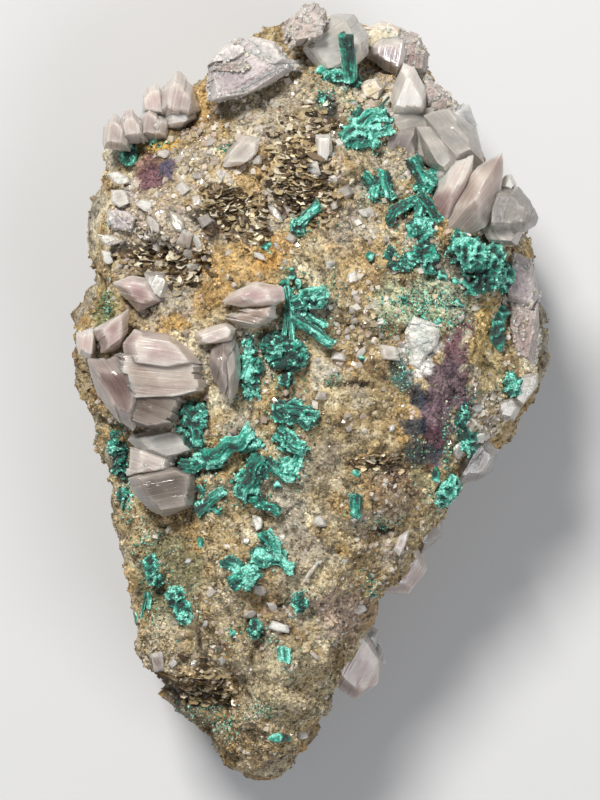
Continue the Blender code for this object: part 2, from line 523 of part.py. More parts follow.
def make_matrix(collection, material):
    """The matrix rock, cut flat where it rests."""
    body = matrix_sphere(0.0)
    everything = body.verts[:] + body.edges[:] + body.faces[:]
    cut = bmesh.ops.bisect_plane(
        body, geom=everything, dist=1e-7, plane_co=(0, 0, 0), plane_no=(0, 0, -1), clear_outer=True
    )
    rim = [item for item in cut["geom_cut"] if isinstance(item, bmesh.types.BMEdge)]
    bmesh.ops.edgeloop_fill(body, edges=rim)
    return new_object("matrix_rock", body, collection, material)


def ground_finder(matrix):
    """A function that gives the height of the matrix, in millimetres, seen at a place (u, v)."""
    tree = BVHTree.FromPolygons(
        [vertex.co for vertex in matrix.data.vertices],
        [face.vertices for face in matrix.data.polygons],
    )
    eye = Vector((-CENTRE_U, -CENTRE_V, FACE_HEIGHT + VIEW_DISTANCE)) * MM

    def ground(u, v):
        aim = Vector((u - CENTRE_U, v - CENTRE_V, FACE_HEIGHT)) * MM
        place = tree.ray_cast(eye, (aim - eye).normalized())[0]
        if place is None:
            raise ValueError(f"no matrix at {u}, {v}")
        return place.z / MM

    return ground


def hull(points):
    """The bmesh of the convex hull of world points."""
    body = bmesh.new()
    for point in points:
        body.verts.new(point)
    found = bmesh.ops.convex_hull(body, input=body.verts)
    loose = {item for item in found["geom_interior"] + found["geom_unused"]}
    verts = [item for item in loose if isinstance(item, bmesh.types.BMVert)]
    bmesh.ops.delete(body, geom=verts, context="VERTS")
    return body


def tabular_crystal(base, lift, slope_u, slope_v, thickness, inset, corners):
    """A crystal as the hull of its edge and of two flat faces, set in from it, above and below."""
    edge = np.array(corners)
    middle = edge.mean(axis=0)
    layers = []
    for shrink, height in ((0.0, 0.0), (inset, thickness / 2.0), (inset, -thickness / 2.0)):
        ring = edge + (middle - edge) * shrink
        z = base + lift + height + (ring - middle) @ np.array([slope_u, slope_v])
        layers.append(np.column_stack([ring, z]))
    return hull(placed(np.vstack(layers)))


def spear_crystal(root, direction, length, width, turn):
    """A pointed crystal as the hull of its root, a zigzag of shoulders and its tip."""
    axis = Vector(direction).normalized()
    side = axis.orthogonal().normalized()
    side.rotate(Matrix.Rotation(turn, 3, axis))
    other = axis.cross(side)
    points = [root, root + axis * length]
    for number in range(SPEAR_SIDES):
        angle = number * 2.0 * math.pi / SPEAR_SIDES
        along = SPEAR_SHOULDERS[number % 2]
        wide, flat = SPEAR_HALVES
        offset = side * math.cos(angle) * wide + other * math.sin(angle) * flat
        points.append(root + axis * length * along + offset * width)
    return hull(points)


def rod(ground, u0, v0, lift0, u1, v1, lift1, width):
    """A malachite rod: a cone frustum between two places."""
    start, end = placed([(u0, v0, ground(u0, v0) + lift0), (u1, v1, ground(u1, v1) + lift1)])
    start, end = Vector(start), Vector(end)
    run = end - start
    turned = run.to_track_quat("Z", "Y").to_matrix().to_4x4()
    body = bmesh.new()
    bmesh.ops.create_cone(
        body,
        cap_tris=True,
        cap_ends=True,
        segments=ROD_SIDES,
        radius1=width / 2.0 * MM,
        radius2=width / 2.0 * ROD_TAPER * MM,
        depth=run.length,
        matrix=Matrix.Translation((start + end) / 2.0) @ turned,
    )
    return body


def lump(ground, u, v, lift, half_u, half_v, half_z):
    """A malachite lump: an icosphere pulled to size, with uneven corners."""
    body = bmesh.new()
    bmesh.ops.create_icosphere(body, subdivisions=1, radius=1.0)
    unit = np.array([vertex.co for vertex in body.verts])
    middle = np.array([u, v, ground(u, v) + lift])
    size = np.array([half_u, half_v, half_z]) * LUMP_PLUMPNESS
    noise_size, noise_height, noise_seed = LUMP_NOISE
    uneven = 1.0 + noise_height * value_noise(unit * size + middle, noise_size, noise_seed)
    for vertex, place in zip(body.verts, placed(unit * size * uneven[:, None] + middle)):
        vertex.co = place
    return body


def combine(body, other, operation):
    """Gives body the mesh of its boolean with the other object.

    The exact solver fails where the facets of two crystals graze each other, and both meshes
    are closed here, so this is the manifold solver.
    """
    modifier = body.modifiers.new(operation.lower(), "BOOLEAN")
    modifier.solver = "MANIFOLD"
    modifier.operation = operation
    modifier.object = other
    graph = bpy.context.evaluated_depsgraph_get()
    before = body.data
    mesh = bpy.data.meshes.new_from_object(body.evaluated_get(graph))
    body.modifiers.clear()
    body.data = mesh
    bpy.data.meshes.remove(before)


def join(name, shapes, collection, material):
    """One object that is the union of several bmeshes."""
    body = new_object(name, shapes[0], collection, material)
    for shape in shapes[1:]:
        other = new_object(name + "_member", shape, collection, material)
        combine(body, other, "UNION")
        bpy.data.objects.remove(other, do_unlink=True)
    return body


def triangulated(mesh):
    """A bmesh of triangles, made in the first way that gives every edge exactly two faces.

    The ways differ in whether flat faces are joined first, how near corners are merged, in
    millimetres, and how a face is cut up.
    """
    ways = itertools.product((FLATNESS, 0.0), MERGES, ("BEAUTY", "EAR_CLIP"))
    for flatness, merge, cutting in ways:
        body = bmesh.new()
        body.from_mesh(mesh)
        if merge:
            bmesh.ops.remove_doubles(body, verts=body.verts, dist=merge * MM)
        if flatness:
            bmesh.ops.dissolve_limit(
                body, angle_limit=flatness, verts=body.verts, edges=body.edges
            )
        bmesh.ops.triangulate(body, faces=body.faces, ngon_method=cutting)
        if all(edge.is_manifold for edge in body.edges):
            return body
        body.free()
    raise ValueError(f"{mesh.name} does not close")


def keep_main_body(item):
    """Makes an object's mesh triangles, and deletes every separate body but the largest."""
    body = triangulated(item.data)
    bodies = []
    unseen = set(body.faces)
    while unseen:
        group = [unseen.pop()]
        for face in group:
            for edge in face.edges:
                for near in edge.link_faces:
                    if near in unseen:
                        unseen.remove(near)
                        group.append(near)
        bodies.append(group)
    bodies.sort(key=lambda group: sum(face.calc_area() for face in group))
    for group in bodies[:-1]:
        bmesh.ops.delete(body, geom=group, context="FACES")
    loose = [vertex for vertex in body.verts if not vertex.link_faces]
    bmesh.ops.delete(body, geom=loose, context="VERTS")
    body.to_mesh(item.data)
    body.free()


def swollen(shape):
    """The bmesh of a convex shape with its corners moved out, to cut its neighbours with."""
    shape.normal_update()
    return hull([vertex.co + vertex.normal * CRYSTAL_GAP * MM for vertex in shape.verts])


def boxes_meet(one, other):
    """Whether the boxes of two objects overlap."""
    first, second = (np.array([vertex.co for vertex in item.data.vertices]) for item in (one, other))
    low = np.maximum(first.min(axis=0), second.min(axis=0))
    high = np.minimum(first.max(axis=0), second.max(axis=0))
    return bool((low < high).all())


def grow_on(name, shapes, parts, cutters, material):
    """A piece that is the union of convex shapes, cut clear of the matrix and of earlier pieces."""
    clearances = [new_object(name + "_clearance", swollen(shape), cutters) for shape in shapes]
    piece = join(name, shapes, parts, material)
    for cutter in cutters.objects:
        if cutter not in clearances and boxes_meet(piece, cutter):
            combine(piece, cutter, "DIFFERENCE")
    keep_main_body(piece)
    for cutter in clearances:
        cutter.hide_render = True
        cutter.display_type = "WIRE"


def side_cluster(turn, rise, reach, seed):
    """Spear crystals that spread from a place on the side of the matrix."""
    angles = np.radians([turn, turn])
    rises = np.array([rise, rise])
    root = Vector(placed(matrix_points(angles, rises))[0])
    outside = Vector(placed(matrix_points(angles, rises, grow=reach))[0])
    out = (outside - root).normalized()
    draw = np.random.default_rng(seed)
    shapes = []
    for number in range(SIDE_CRYSTALS):
        spread = Vector(draw.uniform(-SIDE_SPREAD, SIDE_SPREAD, 3))
        spread.z = abs(spread.z) * SIDE_LEAN_UP
        length = reach * draw.uniform(*SIDE_REACHES) * MM
        turned = draw.uniform(0.0, math.pi)
        start = root - out * SIDE_DEPTH * MM + spread * SIDE_SPACING * MM
        shapes.append(spear_crystal(start, out + spread, length, SPEAR_WIDTH * MM, turned))
    return shapes


def build():
    clear_scene()
    parts = make_collection("malachite_specimen")
    cutters = make_collection("cutters")
    limonite = make_material("limonite_matrix", (0.36, 0.24, 0.12), 0.85)
    calcite = make_material("calcite", (0.78, 0.66, 0.66), 0.2, transmission=0.4)
    malachite = make_material("malachite", (0.04, 0.36, 0.26), 0.6)

    matrix = make_matrix(parts, limonite)
    ground = ground_finder(matrix)
    grown = new_object("matrix_clearance", matrix_sphere(MATRIX_GAP), cutters)
    grown.hide_render = True
    grown.display_type = "WIRE"

    for name, (root, crystals) in CALCITE.items():
        shapes = [tabular_crystal(ground(*root), *crystal) for crystal in crystals]
        grow_on(name, shapes, parts, cutters, calcite)
    for name, place in SIDE_CALCITE.items():
        grow_on(name, side_cluster(*place), parts, cutters, calcite)
    for name, (rods, lumps) in MALACHITE.items():
        shapes = [rod(ground, *place) for place in rods]
        shapes += [lump(ground, *place) for place in lumps]
        grow_on(name, shapes, parts, cutters, malachite)


build()
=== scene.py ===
import math

import bpy
import numpy as np
from mathutils import Matrix, Vector
from mathutils.bvhtree import BVHTree


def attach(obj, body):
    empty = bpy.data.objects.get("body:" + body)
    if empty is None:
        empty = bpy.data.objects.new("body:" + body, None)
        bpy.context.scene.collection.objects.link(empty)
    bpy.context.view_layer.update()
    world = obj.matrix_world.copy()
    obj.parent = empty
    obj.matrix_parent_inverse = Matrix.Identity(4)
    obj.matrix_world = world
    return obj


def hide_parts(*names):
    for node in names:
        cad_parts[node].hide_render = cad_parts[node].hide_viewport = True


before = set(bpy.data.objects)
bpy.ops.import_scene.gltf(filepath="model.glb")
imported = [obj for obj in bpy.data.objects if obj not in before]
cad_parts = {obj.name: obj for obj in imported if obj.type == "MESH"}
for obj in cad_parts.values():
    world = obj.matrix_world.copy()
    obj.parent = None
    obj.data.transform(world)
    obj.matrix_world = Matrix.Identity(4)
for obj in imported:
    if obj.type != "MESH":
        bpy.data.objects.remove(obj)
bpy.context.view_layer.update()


# The matrix rock: a wedge of limonite, which is rusty brown iron ore with ochre earth in its
# hollows. It grew as one lump and was broken off the vein. Its form is the solid's, worked out
# again from the same sections, with a finer skin and the stains and painted shade that lie on it.
# Shapes are in millimetres. A place on the front is (u, v): u to the right and v up from its
# middle, as they look from VIEW_DISTANCE in front of it.
MM = 0.001
VIEW_DISTANCE = 300.0
FACE_HEIGHT = 30.0
CENTRE_U = 1.35
CENTRE_V = 0.3
FOOT_V = -37.2
HEAD_V = 37.2

# Each section: v, the u of the left and right edge, their heights, then the crest's u and height.
SECTIONS = (
    (-37.2, -7.4, 0, 11, 11, -4.2, 23),
    (-35, -7.4, 0.4, 11.5, 11, -4.2, 24),
    (-33, -8.8, 1.6, 12, 11, -4.2, 25),
    (-30, -12.2, 2.9, 13, 12, -5, 26.5),
    (-27, -15.3, 4, 15, 12, -5, 27.5),
    (-23, -16.1, 5.6, 16.5, 12.5, -4, 29),
    (-18, -16.4, 8.8, 17.5, 13, -2.5, 30.5),
    (-13, -17.1, 12.8, 18.5, 13.5, -1, 31.5),
    (-8, -18.2, 16.2, 19.5, 14, 0, 32.5),
    (-3, -20.2, 19.8, 20, 14, 0.5, 33),
    (-0.5, -21.2, 21, 20, 14, 0.8, 33.1),
    (2, -21.9, 22.2, 20, 14, 1, 33.2),
    (5, -22.1, 22.8, 20, 14, 1.3, 33.3),
    (8, -21.5, 23, 20, 14, 1.6, 33.4),
    (11, -19.4, 23, 20, 14.4, 1.9, 33.2),
    (17, -19.2, 21.6, 20, 15, 2.4, 32.6),
    (22, -19.6, 19, 19.5, 15, 2.4, 31.6),
    (26, -18.2, 16.6, 18.5, 15, 2, 30.4),
    (29, -14.8, 14.6, 17.5, 15, 1.6, 29),
    (32, -9.6, 12.8, 16, 14.5, 2, 27.4),
    (35, -7, 11, 15, 14, 3, 25.5),
    (37.2, -5.6, 9.6, 14, 13.5, 3.6, 24),
)
SECTION_BLEND = 1.6
BLEND_STEPS = 5
SECTION_CORNER = 2.6
END_BLUNTNESS = 12
END_LEAN = 9
BACK_HEIGHT = -6.0

# Broken faces: a normal's heading in the face and climb towards the eye, in degrees, then the
# plane's distance from the heart.
HEART = (0.0, 0.0, 17.0)
BREAKS = (
    (182, -16, 20.2),
    (204, -10, 24.2),
    (232, -14, 33),
    (-30, -8, 19),
    (4, 38, 21.4),
    (34, 30, 26.2),
    (62, 24, 31.4),
    (128, 40, 26.2),
    (150, 14, 27.4),
    (-8, -40, 22.4),
    (168, -46, 23.4),
    (84, -24, 36),
    (-96, -30, 36.6),
    (262, 34, 31),
)

# Noise as (size, height, seed): the solid's own lumps, the finer skin on them, pebbles and cracks.
LATTICE = 32
LUMPS = ((12.0, 1.1, 11), (5.6, 1.1, 12), (2.8, 0.65, 13))
SKIN = ((3.4, 0.50, 21), (2.1, 0.50, 18), (1.3, 0.40, 14), (0.8, 0.24, 15), (0.45, 0.13, 16))
PEBBLES = (1.25, 0.34, 17)
CRACKS = (4.6, 0.7, 19)
CRACK_WIDTH = 0.045
CRACK_CONTRAST = 3.0
CRACK_SHARE = 0.4
# Noise (size, seed) that makes the skin smoother or rougher, its least share and its spread.
SMOOTHNESS = (4.4, 20)
SKIN_LEAST = 0.55
SKIN_SPREAD = 0.9
SKIN_BIAS = 0.35
PEBBLE_RISE = 0.55
# Folds and ledges: u, v, half length, half width, turn in degrees, and height or depth.
FOLDS = (
    (-9.4, -29.8, 3.4, 1, -32, -2.6),
    (-7, -25.6, 2.4, 2.2, 0, 1.6),
    (-1.2, -30, 3.8, 0.9, -16, 1.6),
    (-0.8, -32.2, 3.4, 0.9, -10, -1.9),
    (2, -25, 1, 3.6, -20, 1.3),
    (-4.4, -26.4, 0.6, 2.8, 6, -1.6),
    (-10.2, -25.2, 0.5, 3, 4, -1.4),
    (3, -19, 4, 1, 20, 1.1),
    (-2, -20.6, 4, 0.8, -12, -0.9),
    (1, -9, 1.4, 4.6, 10, 0.9),
    (5.6, 1.2, 3.6, 0.6, -6, -1.4),
    (8.4, -9.6, 3, 0.8, -30, 1.1),
    (5, -13, 3, 0.7, -24, -1),
    (-12.6, -14, 1.4, 3, 20, 0.9),
)

# Hollows (-) and swells (+) of the front, which the solid has too, in the same order.
RELIEF_BRIM = 1.5
RELIEF = (
    (-14.5, 14.2, 5.6, 1.7, -8, -2.6),
    (-7.2, 18.8, 4.6, 2, 48, -2.6),
    (-11, 12.2, 2, 1.4, 80, -2.2),
    (-15, 18.4, 5.6, 2.4, -6, 1.3),
    (1.5, 26, 6.5, 2.2, 96, 1.2),
    (2.5, 16, 6, 2.4, 88, 0.9),
    (18.2, 10, 4.2, 1.4, -48, -2.4),
    (20, 5.5, 3.2, 1.6, 88, -1.6),
    (14.5, 5, 5.5, 3, 60, 0.8),
    (-8, -27.2, 4.4, 1.5, -56, -2.4),
    (-3.8, -34, 3.4, 3.6, 0, 1.2),
    (-13, -25.5, 3, 3.6, 20, 1.2),
    (-1, -27.5, 5, 2.8, 70, 1),
    (8.4, -12.9, 2.4, 1.3, 10, -1.6),
    (7.4, -6.1, 2.8, 1, -8, -1.4),
    (-18.6, -5, 1.8, 3.6, 10, -1.6),
)

# How many places round the rock, the front's share of them, and the rings: some on each end cap,
# out to this share of the end's width, and the rest at even steps between the caps.
ROCK_AROUND = 392
FRONT_SHARE = 0.62
CAP_RINGS = 22
CAP_SHARE = 0.85
LONG_RINGS = 208


def value_noise(points, size, seed):
    """Noise from -1 to 1: random values on a cubic lattice of this size, blended smoothly."""
    values = np.random.default_rng(seed).uniform(-1.0, 1.0, (LATTICE, LATTICE, LATTICE))
    cell = np.floor(points / size).astype(int)
    part = points / size - cell
    part = part * part * (3.0 - 2.0 * part)
    total = np.zeros(len(points))
    for corner in np.ndindex(2, 2, 2):
        weight = np.prod(np.where(corner, part, 1.0 - part), axis=1)
        near = (cell + corner) % LATTICE
        total += weight * values[near[:, 0], near[:, 1], near[:, 2]]
    return total


def cell_noise(points, size, seed):
    """Distance, in cells, to the nearest of the seeds strewn one to each cell of a lattice."""
    seeds = np.random.default_rng(seed).uniform(0.0, 1.0, (LATTICE, LATTICE, LATTICE, 3))
    scaled = points / size
    home = np.floor(scaled).astype(int)
    nearest = np.full(len(points), 9.0)
    for step in np.ndindex(3, 3, 3):
        cell = home + np.array(step) - 1
        near = cell % LATTICE
        place = cell + seeds[near[:, 0], near[:, 1], near[:, 2]]
        nearest = np.minimum(nearest, np.linalg.norm(scaled - place, axis=1))
    return nearest


def held(values):
    """Values held between 0 and 1."""
    return np.clip(values, 0.0, 1.0)


def turned_from(u, v, middle_u, middle_v, turn):
    """Distances of (u, v) from a middle, along a line turned by so many degrees and across it."""
    angle = math.radians(turn)
    along = (u - middle_u) * math.cos(angle) + (v - middle_v) * math.sin(angle)
    across = (v - middle_v) * math.cos(angle) - (u - middle_u) * math.sin(angle)
    return along, across


def relief(u, v, bumps):
    """Sum of hollows and swells: each one is a bell over a turned ellipse."""
    total = np.zeros(len(u))
    for middle_u, middle_v, long_half, wide_half, turn, height in bumps:
        along, across = turned_from(u, v, middle_u, middle_v, turn)
        reach = (along / long_half) ** 2 + (across / wide_half) ** 2
        total += height * np.exp(-reach**RELIEF_BRIM)
    return total


def cracks(points):
    """How deep in a crack a point is, from 0 to 1.

    Cracks follow where smooth noise passes zero, and wider noise leaves some places without them.
    """
    size, _, seed = CRACKS
    here = held(value_noise(points, 2.0 * size, seed + 100) * CRACK_CONTRAST + CRACK_SHARE)
    return here * np.exp(-np.abs(value_noise(points, size, seed)) / CRACK_WIDTH)


def section_value(v, column):
    """A column of SECTIONS at v, averaged over a short stretch so that it has no kinks."""
    rows = np.array(SECTIONS)
    steps = np.linspace(-SECTION_BLEND, SECTION_BLEND, BLEND_STEPS)
    return np.mean([np.interp(v + step, rows[:, 0], rows[:, column]) for step in steps], axis=0)


def broken(points):
    """Points beyond a broken face fall straight onto its plane."""
    for heading, climb, distance in BREAKS:
        flat = math.cos(math.radians(climb))
        normal = np.array([
            flat * math.cos(math.radians(heading)),
            flat * math.sin(math.radians(heading)),
            math.sin(math.radians(climb)),
        ])
        beyond = (points - np.array(HEART)) @ normal - distance
        points = points - np.maximum(beyond, 0.0)[:, None] * normal
    return points


def matrix_points(turn, rise, skin=1.0, grow=0.0):
    """Points (u, v, z) on the rock, for turn round the section and rise from foot to head.

    A section is a superellipse between its two edges, leaned so that it peaks at the crest. It
    closes at both ends like a blunt dome. Planes break pieces off, and then noise and relief
    move each point outwards. The skin is the share of the fine noise that is added.
    """
    v = FOOT_V + (HEAD_V - FOOT_V) * rise
    left, right, left_rim, right_rim, crest_u, crest = (section_value(v, k) for k in range(1, 7))
    side = np.sign(np.cos(turn)) * np.abs(np.cos(turn)) ** (2.0 / SECTION_CORNER)
    front = np.sign(np.sin(turn)) * np.abs(np.sin(turn)) ** (2.0 / SECTION_CORNER)
    closing = np.sqrt(1.0 - np.abs(2.0 * rise - 1.0) ** END_BLUNTNESS)
    middle = (left + right) / 2.0
    face = np.maximum(front, 0.0)
    rim = (left_rim + right_rim) / 2.0 + (right_rim - left_rim) / 2.0 * side
    depth = np.where(front > 0.0, crest - rim, rim - BACK_HEIGHT)
    u = middle + closing * ((right - left) / 2.0 * side + (crest_u - middle) * face**2)
    z = rim + closing * depth * front
    out = np.stack([np.cos(turn), (2.0 * rise - 1.0) ** END_LEAN, np.sin(turn)], axis=1)
    out /= np.linalg.norm(out, axis=1)[:, None]
    points = broken(np.stack([u, v, z], axis=1))
    swell = sum(height * value_noise(points, size, seed) for size, height, seed in LUMPS)
    swell += relief(u, v, RELIEF) * face
    if skin:
        fine = sum(height * value_noise(points, size, seed) for size, height, seed in SKIN)
        size, height, seed = PEBBLES
        rough = SKIN_LEAST + SKIN_SPREAD * held(value_noise(points, *SMOOTHNESS) + SKIN_BIAS)
        fine = rough * (fine + height * (PEBBLE_RISE - cell_noise(points, size, seed)))
        swell += skin * (fine + relief(u, v, FOLDS) * face - CRACKS[1] * cracks(points))
    return points + out * (swell + grow)[:, None]


def placed(points):
    """World places in metres of points (u, v, z). A deeper point sits further out than it looks."""
    points = np.atleast_2d(np.asarray(points, dtype=float))
    spread = (VIEW_DISTANCE + FACE_HEIGHT - points[:, 2]) / VIEW_DISTANCE
    x = points[:, 0] * spread - CENTRE_U
    y = points[:, 1] * spread - CENTRE_V
    return np.stack([x, y, points[:, 2]], axis=1) * MM


def colour(code):
    """Linear red, green and blue of a colour written as six hexadecimal digits, by the sRGB curve."""
    parts = np.array([int(code[k:k + 2], 16) / 255.0 for k in (0, 2, 4)])
    return np.where(parts > 0.04045, ((parts + 0.055) / 1.055) ** 2.4, parts / 12.92)


# The rock's own colours, with the brown of its dark specks and of the painted shade in its pits
# and cracks. Then its marks: stains, and painted shadow in hollows, crevices, grooves and a crack.
# A mark has a colour, u, v, half length, half width, turn in degrees and strength, and its edge is
# frayed by noise.
EARTH = colour("ac9870")
SAND = colour("d8ccae")
RUST = colour("7d6444")
GOLD = colour("b8955c")
ASH = colour("a39c8e")
SPECK_AND_SHADE_BROWN = colour("2c2318")
STAINS_AND_SHADE = (
    # The first one darkens the whole foot, the lower third of the face.
    ("6b5234", -4, -27, 11, 12, 0, 0.35),
    ("ada394", -15, 17, 5, 5.6, 0, 0.6),
    ("b8aea2", 2.2, 23.5, 2.4, 3.6, 0, 0.35),
    ("a89a84", 1.5, 30, 4.5, 3.6, 0, 0.4),
    ("c8bc9c", 7.2, 30.6, 3.6, 2.2, 0, 0.6),
    ("c9a24e", -15.4, 25.2, 3.4, 0.6, 8, 0.8),
    ("7a5654", -15.9, 23.2, 2.7, 1.4, -12, 0.92),
    ("735259", -14.4, 22.4, 1.7, 1.2, 50, 0.92),
    ("5f5a6c", -13.4, 23, 0.7, 0.9, 0, 0.9),
    ("cdc6bc", -18.3, 22.1, 1.7, 0.8, -10, 0.95),
    ("b9b4b2", -17.8, 20.2, 1, 1.1, 0, 0.9),
    ("cfbcae", -18, 18, 1.7, 1, 0, 0.95),
    ("c4867c", -18.1, 18.4, 0.6, 0.5, 0, 0.9),
    ("d2ccc4", -19, 15.8, 1.4, 0.6, -20, 0.9),
    # From here down to the grey, the dark browns are painted shadow in the crevices and hollows of the upper
    # left.
    ("1f160e", -7.6, 19.6, 2, 1.5, 30, 0.95),
    ("2a1f15", -9.4, 18, 1.2, 1.6, 60, 0.9),
    ("4a3826", -7.4, 17.2, 2.6, 1.4, 20, 0.7),
    ("2c2118", -15, 14.6, 3.6, 0.8, -10, 0.9),
    ("5c5238", -16.8, 13.9, 2, 0.9, 0, 0.7),
    ("31271c", -13.4, 12.4, 2.6, 0.8, 8, 0.85),
    ("2c2016", -10.6, 12, 0.7, 1.4, -10, 0.8),
    ("8a8a86", -12.2, 11.5, 0.8, 2, 0, 0.8),
    ("6f7a48", -19.5, 9, 1.2, 2.2, 0, 0.6),
    ("bb985f", -6.4, 13.6, 3.6, 2.4, 20, 0.7),
    ("b5925a", -8.6, 10.8, 2.2, 1.6, 30, 0.7),
    ("c08f4a", -2.8, 14.6, 2, 1.6, 40, 0.6),
    ("b08a45", -12.5, 8, 1.6, 1, 0, 0.8),
    ("c0a474", 5.6, 13.6, 3.4, 2.4, 0, 0.45),
    ("bb9a66", 2.6, 19, 1.6, 3.4, 0, 0.45),
    ("3b2d20", -0.4, 24.8, 2, 0.9, -20, 0.7),
    ("33271b", 0.6, 22.4, 1.6, 0.7, -10, 0.7),
    ("3b2d20", 1, 19.9, 1.6, 0.8, -20, 0.7),
    ("151a2a", 2.6, 30.1, 0.8, 0.8, 0, 0.9),
    ("1c2c30", 3.1, 28.4, 0.9, 1.2, 0, 0.8),
    ("b8975a", 4.2, -15, 0.9, 0.6, 0, 0.7),
    ("7d5559", 17, 6.2, 2, 1.2, -60, 0.9),
    ("735358", 16, 4, 2.8, 1.8, -60, 0.95),
    ("6e5a60", 14.6, 1.2, 2.9, 2.3, -65, 0.95),
    ("6f5961", 13.6, -1.6, 2.6, 1.7, -80, 0.95),
    ("7a525c", 13.4, -4.3, 1.7, 1, -85, 0.9),
    ("12494c", 10, 2.4, 1.3, 1.9, 0, 0.9),
    ("2c3846", 11.6, 0.2, 1, 1.3, 0, 0.9),
    ("2b3846", 11.2, -2.6, 1.4, 1, 0, 0.85),
    ("4b5a60", 12, -5.4, 1.8, 1.4, 0, 0.7),
    ("dcd8d0", 12, 4.9, 1.5, 2.4, -14, 0.98),
    ("e3dfd8", 13, 5.7, 1.4, 1.6, 30, 0.98),
    ("d6d2ca", 11.6, 7, 0.8, 0.9, 0, 0.95),
    ("b3893e", 11.2, 3.4, 0.5, 0.4, 0, 0.95),
    ("cfc294", 12.8, -8.2, 2.3, 1, -28, 0.85),
    ("8e4a35", 12.8, -7, 0.5, 0.5, 0, 0.8),
    ("c29a45", 13.7, -7.5, 0.5, 0.5, 0, 0.8),
    ("b9c6a6", 12.3, 9.8, 4.4, 2.6, 0, 0.6),
    ("cdc4a8", 18.4, 5, 1.8, 4, -12, 0.75),
    ("c9c0a0", -0.8, -28.6, 4.4, 5, -10, 0.45),
    ("616c52", -13, -17, 3.6, 4.8, 0, 0.55),
    ("cfc5a6", 2.4, -20, 3.6, 4.4, 0, 0.4),
    ("7d6e50", 2.8, -6.2, 4, 4.6, 0, 0.45),
    ("8d7d5c", 7.4, 0.4, 3.2, 3, 0, 0.35),
    ("c6a765", 18.2, 6.4, 1, 3.6, -12, 0.8),
    ("8f7a46", 19, 3, 0.9, 2.4, -20, 0.7),
    ("3a2a1c", 7.6, 3.2, 2, 0.7, -6, 0.6),
    # Painted shadow along a groove.
    ("21170f", 5.8, 1.8, 1.8, 0.25, -6, 0.9),
    # Painted shade in a hollow on the foot.
    ("2d2318", -4.6, -33.3, 1.6, 0.7, -30, 0.6),
    # Painted shadow along a crack and in the grooves of the foot.
    ("2a1c12", -10.1, -23.8, 0.35, 1.5, 10, 0.75),
    ("2a1c12", -9.8, -26.8, 0.4, 1.7, -12, 0.8),
    ("2a1c12", -9.6, -29.6, 2.6, 1, -30, 0.8),
    ("2a1c12", -13, -28.6, 2.6, 0.9, -40, 0.7),
    # Two hollows, each with a paler band and a dark line of painted shadow.
    ("c0923f", 7.3, -6.1, 2.2, 0.5, 0, 0.8),
    ("1a120c", 7.3, -6.7, 2.2, 0.25, 0, 0.9),
    ("1a120c", 8.4, -12.9, 1.4, 0.4, 0, 0.9),
    ("c2b692", 8.2, -12.1, 1.6, 0.4, 0, 0.8),
    ("a97a86", 5.6, -22, 2.4, 4, 60, 0.3),
    ("8d6d6c", 9.6, -9, 2.4, 3, 60, 0.3),
)

# Where a mark's edge lies and how soft it is, in shares of its size, and how mottled it is. Then
# how fast the front begins inside the rim, and the most that dark specks with the painted shade in
# pits, and the painted shade in cracks, darken the rock.
MARK_EDGE = 1.15
MARK_SOFTNESS = 0.3
MOTTLING = 0.35
FRONT_START = 3.0
PIT_DARKEST = 0.75
CRACK_DARKEST = 0.7


def toward(paint, other, share):
    """Paint carried this share of the way to another colour, point by point."""
    return paint + (other - paint) * share[:, None]


def on_front(turn):
    """How far a place is on the front: 1 on the face of the specimen, 0 on its sides and back."""
    return held(np.sin(turn) * FRONT_START)


def rock_paint(points, front):
    """Colour at points (u, v, z), and how far the stains and painted shadows cover it.

    The earth is mottled by noise from rust to sand, with gold and ash in places, with dark specks
    and painted shade in its pits and cracks. The stains and painted shadows lie on the front only.
    """
    fine = value_noise(points, 0.7, 43)
    tone = value_noise(points, 6.0, 41) * 0.55 + value_noise(points, 1.9, 42) * 0.65 + fine * 0.35
    paint = toward(EARTH, SAND, held(tone * 1.4))
    paint = toward(paint, RUST, held(-tone * 1.5))
    for hue, size, seed, most in ((GOLD, 3.6, 46, 0.7), (ASH, 3.0, 47, 0.8)):
        paint = toward(paint, hue, np.clip(value_noise(points, size, seed) * 1.8 - 0.25, 0.0, most))
    # Painted shade: darker in the pits between pebbles and in the cracks, where the skin sinks. Low fine
    # noise adds dark specks.
    pits = cell_noise(points, PEBBLES[0], PEBBLES[2])
    dark = held((pits - 0.70) * 2.6) + held(-fine * 1.2 - 0.5)
    dark = np.maximum(np.clip(dark, 0.0, PIT_DARKEST), CRACK_DARKEST * cracks(points))
    paint = toward(paint, SPECK_AND_SHADE_BROWN, dark)
    fray = value_noise(points, 1.4, 44) * 0.42 + value_noise(points, 0.5, 45) * 0.35
    cover = np.zeros(len(points))
    for code, middle_u, middle_v, long_half, wide_half, turn, strength in STAINS_AND_SHADE:
        along, across = turned_from(points[:, 0], points[:, 1], middle_u, middle_v, turn)
        reach = np.hypot(along / long_half, across / wide_half) + fray
        share = held((MARK_EDGE - reach) / MARK_SOFTNESS) * strength * front
        paint = toward(paint, colour(code) * (1.0 + MOTTLING * fine)[:, None], share)
        cover = np.maximum(cover, share)
    return held(paint), cover


def ringed_faces(rings, around):
    """Quads between the rings of a closed tube, and triangles that close it to a pole at each end.

    The points are numbered ring by ring, then come the start pole and the end pole.
    """
    ring, place = np.meshgrid(np.arange(rings - 1), np.arange(around), indexing="ij")
    beside = (place + 1) % around
    quads = np.stack([
        ring * around + place,
        ring * around + beside,
        (ring + 1) * around + beside,
        (ring + 1) * around + place,
    ], axis=-1).reshape(-1, 4)
    last = (rings - 1) * around
    here = np.arange(around)
    there = (here + 1) % around
    start = np.full(around, rings * around)
    caps = np.concatenate([
        np.stack([start, there, here], axis=1),
        np.stack([start + 1, last + here, last + there], axis=1),
    ])
    return quads, caps


def new_object(name, data):
    """An object with this data, linked into the scene."""
    made = bpy.data.objects.new(name, data)
    bpy.context.scene.collection.objects.link(made)
    return made


